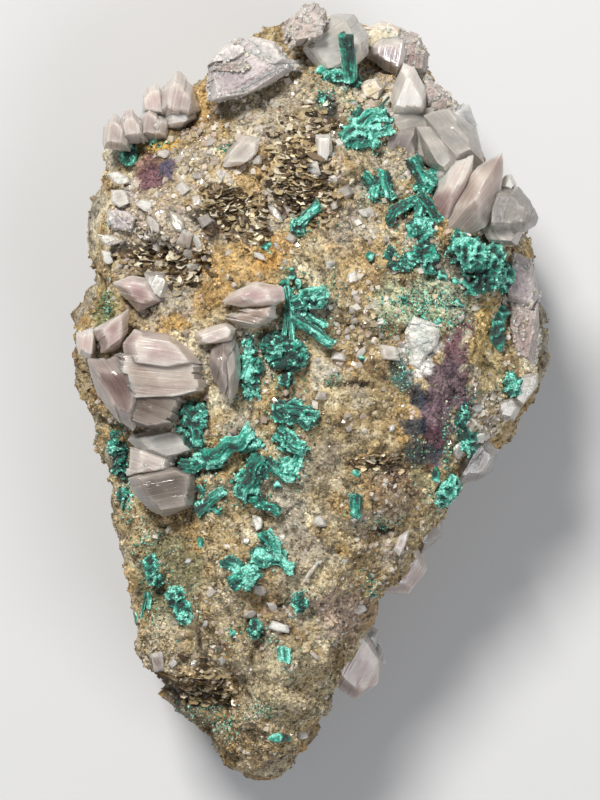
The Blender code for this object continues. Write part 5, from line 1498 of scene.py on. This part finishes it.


# Malachite on the face: fibrous copper carbonate in fluted rods and grainy lumps, mint green
# where the fibres end. Its folds and the grooves between flutes are painted dark green as shade,
# and crests, ridges and tops carry painted mint highlights. A rod runs between two places
# (u, v, lift) and has a width. A lump has a place (u, v, lift) and half sizes along u, v and up.
MALACHITE = {
    "top_rod": (
        ((4.6, 36.6, 14.2, 5.1, 31.8, 2.4, 1.3),),
        ((3.4, 32.2, 0.6, 1.3, 0.9, 1.2), (5, 31.8, 0.9, 1.2, 0.8, 1.3)),
    ),
    "top_fan": (
        ((4, 26.2, 0.6, 8.4, 28.8, 1.6, 1.5), (5.2, 25.6, 0.4, 9.2, 27.2, 1.2, 1.3),
         (5.6, 28.8, 0.8, 8, 25.4, 0.8, 1.3)),
        ((6.2, 27, 0.5, 2.2, 1.4, 1.3), (7.8, 28.2, 0.4, 1.4, 1, 1.2)),
    ),
    "pair": (
        ((6.9, 22.4, 0.4, 7.4, 20.2, 0.8, 1.1), (8.6, 22.6, 0.4, 8.8, 20.2, 0.8, 1.2)),
        ((8, 21.2, 0.2, 1.3, 0.9, 0.9),),
    ),
    "fork": (
        ((11.2, 24.2, 1.2, 13.2, 21, 0.8, 1.6), (14.3, 24.3, 1.4, 12.8, 21.6, 0.9, 1.4)),
        ((12.6, 21.6, 0.4, 1.4, 1.4, 1.2),),
    ),
    "roof": (
        ((8.5, 18, 0.8, 11.6, 20.4, 1.6, 1.1), (11.8, 20.3, 1.6, 14.1, 18, 0.8, 0.9),
         (11.6, 20.2, 1, 12, 17.2, 0.6, 1.2), (8.6, 15, 0.3, 11.2, 13.2, 0.5, 1.2),
         (11, 13.2, 0.5, 13.6, 15.4, 0.6, 1.3)),
        ((12, 17.2, 0.4, 1.6, 1.3, 1.1), (12.4, 14.4, 0.4, 1.5, 1.7, 1.1),
         (9.8, 13.9, 0.2, 1.3, 0.9, 0.9)),
    ),
    "right_clump": (
        ((15.4, 16.2, 1.2, 19.4, 13.8, 1.4, 1.8),),
        ((16.6, 14.8, 0.6, 2, 1.9, 1.7), (18.8, 14.2, 0.6, 1.9, 1.6, 1.7),
         (18, 12.2, 0.4, 2, 1.7, 1.6), (20, 12.4, 0.2, 1.5, 1.6, 1.5)),
    ),
    "diagonal": (
        ((2, 19.6, 0.8, -0.1, 17.6, 0.5, 1.3),),
        ((-0.1, 17.2, 0.2, 0.8, 0.9, 0.8),),
    ),
    "tuft": (
        ((-0.8, 8.4, 1, 3.2, 5.5, 2.2, 1.25), (0.8, 8.4, 0.9, 2.6, 7.4, 1.6, 0.9),
         (-0.6, 9.6, 0.6, 2.6, 10.9, 2, 1.3), (-1.3, 11.4, 0.8, -0.7, 5.6, 0.9, 0.6),
         (-0.9, 11.2, 0.6, -1.6, 6.4, 0.7, 0.5)),
        ((1.2, 10.2, 1, 1.5, 1, 1.2), (-0.2, 8.8, 0.2, 1.1, 1.4, 1.1)),
    ),
    "centre_clump": (
        ((-3.6, 6.2, 0.8, 0.6, 4.2, 1, 1.4), (-2.8, 3.2, 0.6, 0.2, 5.6, 0.9, 1.2)),
        ((-2.4, 5.3, 0.4, 1.4, 1.6, 1.2), (-0.8, 4.3, 0.4, 1.6, 1.5, 1.3),
         (-1.4, 2.1, 0.1, 0.8, 0.9, 0.8)),
    ),
    "centre_stem": (
        ((-5.6, 6, 0.6, -4.6, 4.8, 0.6, 1.3), (-4.4, 4.2, 0.5, -5.6, 2, 0.6, 1.4)),
        ((-4.8, 3.2, 0.3, 1.2, 1.4, 1), (-4.8, 1, 0.2, 1, 1, 0.9)),
    ),
    "leaves": (
        ((-11.6, -0.6, 1, -9.8, -4.4, 0.8, 1.4), (-9.8, -0.6, 0.8, -11.4, -2.6, 0.8, 1.3)),
        ((-10.4, -1.6, 0.3, 1.5, 1.4, 1.1), (-10.6, -3.6, 0.3, 1.2, 1.3, 1)),
    ),
    "bar": (
        ((-9.4, -5.8, 1.2, -4.8, -3.2, 1.6, 1.5), (-11.8, -6.2, 0.8, -8.6, -6.2, 1, 1.3),
         (-6, -5.2, 0.8, -3.9, -4.2, 1, 1.2)),
        ((-8.6, -5.8, 0.3, 1.6, 1.1, 1),),
    ),
    "chain": (
        ((-3.8, -5.6, 0.8, -6, -9.8, 0.9, 1.5), (-4.6, -9.4, 0.7, -2.2, -11.4, 0.7, 1.3)),
        ((-5.4, -8.6, 0.3, 1.3, 1.5, 1.1), (-4.2, -6.8, 0.3, 1.1, 1.2, 1)),
    ),
    "low_rod": (
        ((-10.3, -11.1, 0.8, -7.7, -9, 1.2, 1.1), (-10, -8.6, 0.5, -9.2, -10, 0.6, 1)),
        ((-9.4, -10.3, 0.2, 1, 0.8, 0.8),),
    ),
    "round": (
        ((-2.4, -0.6, 0.9, 1.2, -2.2, 1, 1.5),),
        ((-1.2, -1.2, 0.4, 1.7, 1.3, 1.3), (0.6, -1.8, 0.4, 1.2, 1.1, 1.2)),
    ),
    "bowl": (
        ((-2.4, -3.2, 0.8, 0.4, -4.8, 1, 1.4), (-3.4, -6.4, 0.6, -0.4, -7.6, 0.8, 1.3),
         (0, -4.6, 0.8, -0.6, -7.4, 0.8, 1.2)),
        ((-1.2, -4.2, 0.3, 1.5, 1.1, 1.1), (-1.4, -6.8, 0.2, 1.5, 1, 1)),
    ),
    "low_a": (
        ((-7.2, -15.7, 0.6, -5, -18.6, 0.9, 1.5), (-7, -18.2, 0.6, -4.4, -17.2, 0.9, 1.4)),
        ((-5.4, -17.6, 0.3, 1.3, 1.3, 1.1),),
    ),
    "low_b": (
        ((-4.8, -15.6, 0.8, -0.6, -16.6, 1, 1.4), (-3.4, -13.2, 0.6, -2.6, -15.6, 0.8, 1.3)),
        ((-3.2, -15.4, 0.3, 1.6, 1.2, 1.1),),
    ),
    "low_left_a": ((), ((-14.4, -16.6, 0.2, 1.2, 1, 0.9), (-14.2, -17.6, 0.2, 1.1, 0.9, 0.8))),
    "low_left_b": ((), ((-12.4, -19.8, 0.3, 1.1, 1.2, 1), (-11.6, -21.2, 0.2, 0.9, 1.1, 0.9))),
    "bead_a": ((), ((0.1, -20, 0.3, 0.9, 1.2, 1),)),
    "bead_b": ((), ((-4.5, -22.9, 0.2, 0.7, 0.9, 0.8),)),
    "bead_c": ((), ((-6.9, -23.5, 0.2, 0.7, 1, 0.8),)),
    "tile": (((-1.6, -24.6, 0.7, -1.5, -26.6, 0.7, 1.4),), ()),
    "seed": (((5.6, -9.4, 0.6, 5.6, -11.8, 0.7, 1.3),), ()),
    "edge_left_a": ((), ((-18.2, -4.6, 0.2, 1.1, 1.6, 1), (-17.8, -6.4, 0.1, 1.1, 1.4, 0.9))),
    "edge_left_b": ((), ((-17.2, -9.6, 0.1, 1, 1.4, 0.9),)),
    "edge_right_a": ((), ((21.2, 1.5, 0.8, 1, 1.3, 1.2),)),
    "edge_right_b": (
        ((15.8, -1.2, 0.8, 16.5, -4.6, 0.8, 1.3), (17, -3.2, 0.7, 17.2, -5.6, 0.9, 1.3)),
        ((16.6, -4, 0.4, 1.1, 1.6, 1.1),),
    ),
    "edge_right_c": ((), ((14.6, -8.6, -0.4, 1.4, 1.4, 1.3), (13.8, -9.8, -0.6, 1.2, 1.2, 1.2))),
    "head_left": ((), ((-17, 24.3, 0.4, 0.9, 0.9, 0.9),)),
}
DEEP_GREEN = colour("0b3029")
LEAF_GREEN = colour("129179")
MINT = colour("90e2cd")
ROD_AROUND = 36
ROD_RINGS = 24
ROD_CAP_RINGS = 4
ROD_TAPER = 0.84
LUMP_AROUND = 48
LUMP_RINGS = 30
# How much paler or darker than the rest a growth is.
GROWTH_TONES = {
    "tuft": 0.07, "low_b": 0.2, "tile": 0.35, "bowl": 0.14, "bar": 0.1, "low_a": 0.08,
    "centre_stem": 0.06, "chain": -0.05, "round": -0.04, "centre_clump": -0.18, "top_rod": -0.12,
    "roof": -0.11, "leaves": -0.15, "low_left_a": -0.12, "edge_left_a": -0.14,
    "edge_left_b": -0.12, "fork": -0.1, "right_clump": -0.03, "pair": -0.06, "bead_b": -0.12,
    "bead_c": -0.12, "seed": -0.05,
}
STRAIGHT_GROWTHS = ("tuft", "top_rod", "low_rod", "diagonal", "seed", "tile")
# Flutes round a rod, as the number of waves and their height. Then the tone that the greens turn
# about, where it goes, and how much they are spread from it.
FLUTES = ((5.0, 0.07), (9.0, 0.05), (2.0, 0.14))
BLOOM_PIVOT = 0.36
BLOOM_BASE = 0.21
BLOOM_CONTRAST = 1.7
WANDER = 0.3
GRANULE_SIZES = (0.12, 0.45)
GRANULE_BLOOM = (-0.3, 0.42)
# Noise on a rod, by how fine it is round it and along it: its swellings, grain and fibre ends.
ROD_NOISE = ((1.6, 0.7), (5.0, 1.6), (3.0, 0.0))
# How far broad noise, ridges and small noise swell a lump, and how far a fold lies from a ridge.
LUMP_SWELL = (0.20, 0.60, 0.14)
FOLD_MIDDLE = 0.3
ROD_GRANULES = 150
LUMP_GRANULES = 330


def greened(bloom_and_light):
    """Colours from deep green through leaf green to mint as paleness and painted light go from 0 to 1."""
    bloom_and_light = held(BLOOM_BASE + BLOOM_CONTRAST * (bloom_and_light - BLOOM_PIVOT))
    paint = toward(DEEP_GREEN, LEAF_GREEN, held(bloom_and_light * 2.0))
    return toward(paint, MINT, held(bloom_and_light * 2.0 - 1.0))


def granules(points, bloom_and_light, count, draw):
    """Fine grains that sit on random ones of these points, most of them greener or mintier."""
    chosen = draw.integers(0, len(points), count)
    size = sized(count, 1.8, GRANULE_SIZES, draw)
    shade = greened(bloom_and_light[chosen] + draw.uniform(*GRANULE_BLOOM, count))
    corners, (three,), shade = strewn(GRAIN, GRAIN_FACES, points[chosen], size, shade, draw)
    return corners, (np.empty((0, 4), dtype=int), three), shade


def fluted_rod(u0, v0, lift0, u1, v1, lift1, width, draw, tone=0.0, wander=0.0):
    """A fluted circle carried along a line, and closed at each end by an uneven cap.

    The flutes are three waves round it and noise along it. Each fibre ends at its own length, so
    the caps are rough and mint. Painted highlight makes the tops of the flutes and swellings mint,
    and painted shade darkens the grooves between them. Noise makes the line wander by a share of
    the width.
    """
    start = np.array([u0, v0, ground(u0, v0) + lift0])
    end = np.array([u1, v1, ground(u1, v1) + lift1])
    run = end - start
    length = np.linalg.norm(run)
    forward = run / length
    side = np.cross(forward, (0.0, 0.0, 1.0))
    side /= np.linalg.norm(side)
    other = np.cross(side, forward)
    angle = np.arange(ROD_AROUND) * 2.0 * math.pi / ROD_AROUND
    cap = np.linspace(0.0, 1.0, ROD_CAP_RINGS + 1)[1:]
    part = np.concatenate([
        np.zeros(ROD_CAP_RINGS), np.linspace(0.0, 1.0, ROD_RINGS), np.ones(ROD_CAP_RINGS)
    ])
    close = np.concatenate([cap * 0.96, np.ones(ROD_RINGS), cap[::-1] * 0.96])
    phase = draw.uniform(0.0, 2.0 * math.pi, 3)
    seed = int(draw.integers(1, 9999))
    flute = sum(
        height * np.cos(waves * angle + shift) for (waves, height), shift in zip(FLUTES, phase)
    )
    ring, turn = np.meshgrid(np.arange(len(part)), np.arange(ROD_AROUND), indexing="ij")
    ring = ring.ravel()
    turn = turn.ravel()
    around = np.column_stack([np.cos(angle[turn]), np.sin(angle[turn])])
    reach = part[ring] * length
    uneven, fine, fibre = (
        value_noise(np.column_stack([around * wide, reach * long]), 1.0, seed + number)
        for number, (wide, long) in enumerate(ROD_NOISE)
    )
    taper = 1.0 + (ROD_TAPER - 1.0) * part[ring]
    swell = 1.0 + flute[turn] + (0.14 + 0.6 * wander) * uneven + 0.12 * fine
    radius = width / 2.0 * taper * close[ring] * swell
    outwards = (part[ring] - 0.5) * 2.0
    place = reach + outwards * close[ring] * (0.26 * fibre - 0.1)
    points = start + forward * place[:, None]
    drift = np.column_stack([reach / 1.3, np.zeros((len(ring), 2))])
    drift = [value_noise(drift, 1.0, seed + number)[:, None] * wander * width for number in (3, 4)]
    points = points + side * drift[0] + other * drift[1]
    across = around * radius[:, None]
    points = points + side * across[:, :1] + other * across[:, 1:]
    points = np.concatenate([points, [start, end]])
    tip = np.append(np.maximum(part[ring], 1.0 - close[ring]), [0.5, 1.0])
    # Mint at the fibre ends; painted highlight on the crests of flutes and swellings, painted shade in the
    # grooves.
    crest = np.append((flute[turn] + 0.3 * uneven + 0.35 * fine) * 0.9, [0.0, 0.2])
    bloom_and_light = 0.33 + 0.32 * tip**3 + crest + draw.uniform(-0.1, 0.1) + tone
    rod = (placed(points), ringed_faces(len(part), ROD_AROUND), greened(bloom_and_light))
    return [rod, granules(points, bloom_and_light, ROD_GRANULES if wander else ROD_GRANULES // 4, draw)]


def grainy_lump(u, v, lift, half_u, half_v, half_z, draw, tone=0.0):
    """An ellipsoid of rings whose radius is swollen by noise, with ridges where noise passes zero.

    The green is painted light and shade: mint highlight along the ridges and on the top, and deep
    green shade in the folds between them.
    """
    polar = (np.arange(LUMP_RINGS) + 0.5) / LUMP_RINGS * math.pi
    angle = np.arange(LUMP_AROUND) * 2.0 * math.pi / LUMP_AROUND
    down, round_ = np.meshgrid(polar, angle, indexing="ij")
    unit = np.stack([
        np.sin(down) * np.cos(round_), np.sin(down) * np.sin(round_), -np.cos(down)
    ], axis=-1).reshape(-1, 3)
    unit = np.concatenate([unit, [(0.0, 0.0, -1.0), (0.0, 0.0, 1.0)]])
    middle = np.array([u, v, ground(u, v) + lift])
    size = np.array([half_u, half_v, half_z])
    seed = int(draw.integers(1, 9999))
    where = unit * size + middle
    broad = value_noise(where, 1.1, 31)
    folds = np.abs(value_noise(where * np.array([1.0, 1.0, 0.6]), 0.75, seed))
    small = value_noise(where, 0.34, seed + 1)
    swell = 0.92 + LUMP_SWELL[0] * broad + LUMP_SWELL[1] * (FOLD_MIDDLE - folds)
    swell = swell + LUMP_SWELL[2] * small
    points = middle + unit * size * swell[:, None]
    # Painted highlight on the ridges and painted shade in the folds.
    bloom_and_light = 0.33 + 1.4 * (0.27 - folds) + 0.28 * small + 0.25 * value_noise(where, 1.9, seed + 2)
    # Painted light from above: each lump paler on top and darker underneath.
    bloom_and_light = bloom_and_light + 0.12 * unit[:, 2] + tone
    lump = (placed(points), ringed_faces(LUMP_RINGS, LUMP_AROUND), greened(bloom_and_light))
    top = unit[:, 2] > -0.2
    return [lump, granules(points[top], bloom_and_light[top], LUMP_GRANULES, draw)]


# Fibrous malachite, finely grained and dull with a soft silky sheen.
malachite_fibre, shader, node = new_finish(
    "malachite_fibre", Roughness=0.55, Sheen_Weight=0.15, Specular_IOR_Level=0.5
)
sandy(node, shader, 0.00015, 0.45, 0.6)

for number, (growth, (rods, lumps)) in enumerate(MALACHITE.items()):
    draw = np.random.default_rng(700 + number)
    wander = 0.0 if growth in STRAIGHT_GROWTHS else WANDER
    tone = GROWTH_TONES.get(growth, 0.0)
    shapes = [shape for place in rods for shape in fluted_rod(*place, draw, tone, wander)]
    shapes += [shape for place in lumps for shape in grainy_lump(*place, draw, tone)]
    piece = joined_piece(growth + "_malachite", shapes, (malachite_fibre,), sharp=40.0)
    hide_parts("malachite_" + growth)


# Small beads and strands of malachite between the growths, stuck on the rock. Each has a place
# (u, v, lift) and half sizes along u, v and up. A needle has both its ends and its width.
SMALL_LUMPS = (
    (-7.9, 25.2, 0.1, 0.5, 0.4, 0.4), (-6.8, 25.1, 0.1, 0.5, 0.3, 0.4), (-7.5, 25.6, 0, 0.3, 0.4, 0.4),
    (-17.4, 26.2, 0.3, 0.5, 0.7, 0.5), (-16.8, 25.4, 0.3, 0.5, 0.4, 0.5), (-14.6, 25.8, 0.1, 0.5, 0.4, 0.4),
    (-3.4, 15.4, 0.1, 0.5, 0.5, 0.4), (-3, 14.6, 0, 0.3, 0.3, 0.3),
    (-0.8, 12.6, 0.1, 0.4, 0.7, 0.5), (-1.6, 11.4, 0.1, 0.6, 0.7, 0.6), (-0.2, 11.6, 0.1, 0.4, 0.6, 0.5),
    (15.4, 11.8, 0.2, 0.5, 0.4, 0.4), (14.1, 12.4, 0.2, 0.6, 0.5, 0.5), (15.5, 9.4, 0.2, 0.9, 0.7, 0.6),
    (12.4, 8.4, 0.1, 0.5, 0.5, 0.4), (14, 8, 0.1, 0.7, 0.5, 0.5), (10.4, 10.1, 0.1, 0.4, 0.4, 0.4),
    (7, 14.4, 0.1, 0.5, 0.5, 0.5), (5.6, -7.4, 0.1, 0.4, 0.4, 0.4), (6.2, 4.1, 0, 0.4, 0.4, 0.3),
    (-3.4, -27.8, 0, 0.4, 0.4, 0.4), (-2.3, -8.5, 0.1, 0.5, 0.5, 0.5), (-1.9, -33.8, 0.1, 1.1, 0.5, 0.5),
    (-8.2, -10.8, 0.1, 0.5, 0.8, 0.6), (16.2, -0.8, 0.3, 0.6, 0.8, 0.7), (16.4, -2, 0.3, 0.6, 0.8, 0.7),
    (13.6, -7.4, 0.1, 0.5, 1, 0.6), (19.8, 6.8, 0.1, 0.8, 1.8, 0.7), (20.4, 8.6, 0.1, 0.6, 0.9, 0.6),
    (2.4, 32.6, 0.2, 0.8, 0.8, 0.7), (4.4, 33.4, 0.4, 0.6, 0.6, 0.6), (2.2, 30.2, 0.1, 0.5, 0.6, 0.4),
    (-9.9, -14.2, 0, 0.3, 0.6, 0.3), (-15.1, -20, 0.1, 0.3, 1, 0.3), (-16.2, -21.6, 0, 0.4, 0.8, 0.3),
    (-7, -8, 0.1, 0.6, 0.5, 0.5), (-12, -3, 0.1, 0.6, 0.9, 0.6), (-12.4, 0, 0.1, 0.4, 0.5, 0.5),
)
NEEDLES = (
    (8.9, 30.3, 2.6, 7.4, 28.6, 1, 0.26),
    (8.4, 29.4, 1.6, 7.8, 28.2, 1, 0.22),
    (-15.4, -19.2, 0.4, -15.9, -22.2, 0.4, 0.3),
)
draw = np.random.default_rng(790)
small_shapes = [shape for place in SMALL_LUMPS for shape in grainy_lump(*place, draw)[:1]]
small_shapes += [shape for place in NEEDLES for shape in fluted_rod(*place, draw)[:1]]
small_lumps = joined_piece("small_malachite", small_shapes, (malachite_fibre,), sharp=40.0)


# The green crust: powdery malachite grains on the rock, thick close round each growth and in
# speckled patches of its own. Each patch has a middle (u, v), half sizes and how many grains it has.
CRUST_GRAINS = 110
CRUST_SPREAD = 0.35
CRUST_SIZES = (0.09, 0.34)
CRUST_BLOOM = (0.05, 0.9)
OLIVE_SHARE = 0.35
CRUST_TONES = ("d2d3a8", "aebb8c", "8fa67c", "e0e2ca", "6f9a72")
CRUST_PATCHES = (
    (12.4, 9.6, 3.6, 1.6, 1500), (14.8, 8.4, 1.6, 1.8, 900), (8.6, 7.2, 1.2, 1.2, 160),
    (10.2, 2.6, 1.2, 2, 220), (12, -5.2, 1.6, 1.6, 160), (14.7, -4.6, 0.5, 3, 420),
    (17, -1, 0.7, 2.6, 160), (8.4, -12.4, 1.8, 0.5, 160), (2.6, 30.6, 0.8, 1.6, 160),
    (6, 29.4, 2.4, 1.2, 260), (3.4, 10.6, 1.2, 1.8, 120), (-1, 12.4, 0.8, 1.6, 160),
    (-7.4, 25.2, 1, 0.6, 100), (-14.2, 25.8, 1.2, 0.5, 100), (-19.4, 21.6, 0.3, 1.6, 160),
    (-19.6, 18, 0.4, 1.4, 160), (-19.4, 9.4, 0.5, 2, 160), (-18, -3, 0.9, 3.4, 420),
    (-17, -8.4, 0.8, 3.2, 320), (-15.2, -14, 1.2, 2.6, 260), (-14.6, -20.6, 0.9, 2.4, 200),
    (-9.6, -31, 2.4, 1.4, 420), (-7.6, -32.8, 1.6, 1.4, 260), (-3.8, -31, 1.6, 0.8, 200),
    (7.2, -18.6, 0.7, 1.6, 160), (-3.2, -23.8, 0.8, 0.8, 60), (3.4, 2, 1, 0.8, 90),
)
crust_draw = np.random.default_rng(81)
crust_places = []
for rods, lumps in MALACHITE.values():
    for u0, v0, _, u1, v1, _, width in rods:
        run = crust_draw.uniform(0.0, 1.0, (CRUST_GRAINS, 1))
        middle = np.array([u0, v0]) + run * np.array([u1 - u0, v1 - v0])
        spread = CRUST_SPREAD + width * 0.4
        crust_places.append(middle + crust_draw.normal(0.0, spread, (CRUST_GRAINS, 2)))
    for u, v, _, half_u, half_v, _ in lumps:
        reach = np.array([half_u, half_v]) * 0.75 + CRUST_SPREAD
        spread = crust_draw.normal(0.0, 1.0, (CRUST_GRAINS, 2)) * reach
        crust_places.append(np.array([u, v]) + spread)
for u, v, half_u, half_v, count in CRUST_PATCHES:
    spread = crust_draw.normal(0.0, 0.6, (count, 2)) * (half_u, half_v)
    crust_places.append(np.array([u, v]) + spread)
crust_places = np.concatenate(crust_places)
crust_height = front_heights(crust_places[:, 0], crust_places[:, 1])
on_rock = crust_height > 0.0
crust_points = np.column_stack([crust_places, crust_height])[on_rock]
crust_count = len(crust_points)
crust_size = sized(crust_count, 2, CRUST_SIZES, crust_draw)
crust_paint = greened(crust_draw.uniform(*CRUST_BLOOM, crust_count))
olive = crust_draw.uniform(0.0, 1.0, crust_count) < OLIVE_SHARE
crust_paint[olive] = tones(CRUST_TONES, olive.sum(), crust_draw)
crust = new_piece(
    "malachite_crust",
    *strewn(GRAIN, GRAIN_FACES, crust_points, crust_size, crust_paint, crust_draw),
    (malachite_fibre,),
)


# The floor, the light and the camera. The camera looks straight down on the specimen, from
# VIEW_DISTANCE over its face, with the lens that gives ten picture points to a millimetre there.
FLOOR_HALF = 1.5
FLOOR_DROP = 0.0001
floor_mesh = bpy.data.meshes.new("floor")
floor_mesh.from_pydata(
    [(x * FLOOR_HALF, y * FLOOR_HALF, -FLOOR_DROP) for x, y in ((-1, -1), (1, -1), (1, 1), (-1, 1))],
    [],
    [(0, 1, 2, 3)],
)
floor = new_object("floor", floor_mesh)
floor_mesh.materials.append(
    new_finish("floor_paper", Roughness=0.8, Base_Color=(0.46, 0.46, 0.46, 1.0))[0]
)

world = bpy.data.worlds.new("studio")
world.use_nodes = True
sky = world.node_tree.nodes["Background"].inputs
sky["Color"].default_value = (0.86, 0.88, 0.92, 1.0)
sky["Strength"].default_value = 0.27
bpy.context.scene.world = world


def lamp(name, place, size, power, tint):
    """A square soft light that faces the middle of the specimen."""
    data = bpy.data.lights.new(name, "AREA")
    data.size = size
    data.energy = power
    data.color = tint
    light = new_object(name, data)
    light.location = place
    aim = Vector((0.0, 0.0, 0.02)) - Vector(place)
    light.rotation_euler = aim.to_track_quat("-Z", "Y").to_euler()


lamp("key_light", (-0.13, 0.26, 0.43), 0.12, 3.9, (1.0, 0.98, 0.95))
lamp("fill_light", (0.26, -0.22, 0.44), 0.3, 1.6, (0.94, 0.96, 1.0))

lens = bpy.data.cameras.new("camera")
lens.sensor_fit = "VERTICAL"
lens.sensor_height = 36.0
lens.lens = 135.0
lens.clip_start = 0.01
camera = new_object("camera", lens)
camera.location = (-CENTRE_U * MM, -CENTRE_V * MM, (FACE_HEIGHT + VIEW_DISTANCE) * MM)
bpy.context.scene.camera = camera
bpy.context.scene.view_settings.view_transform = "Standard"
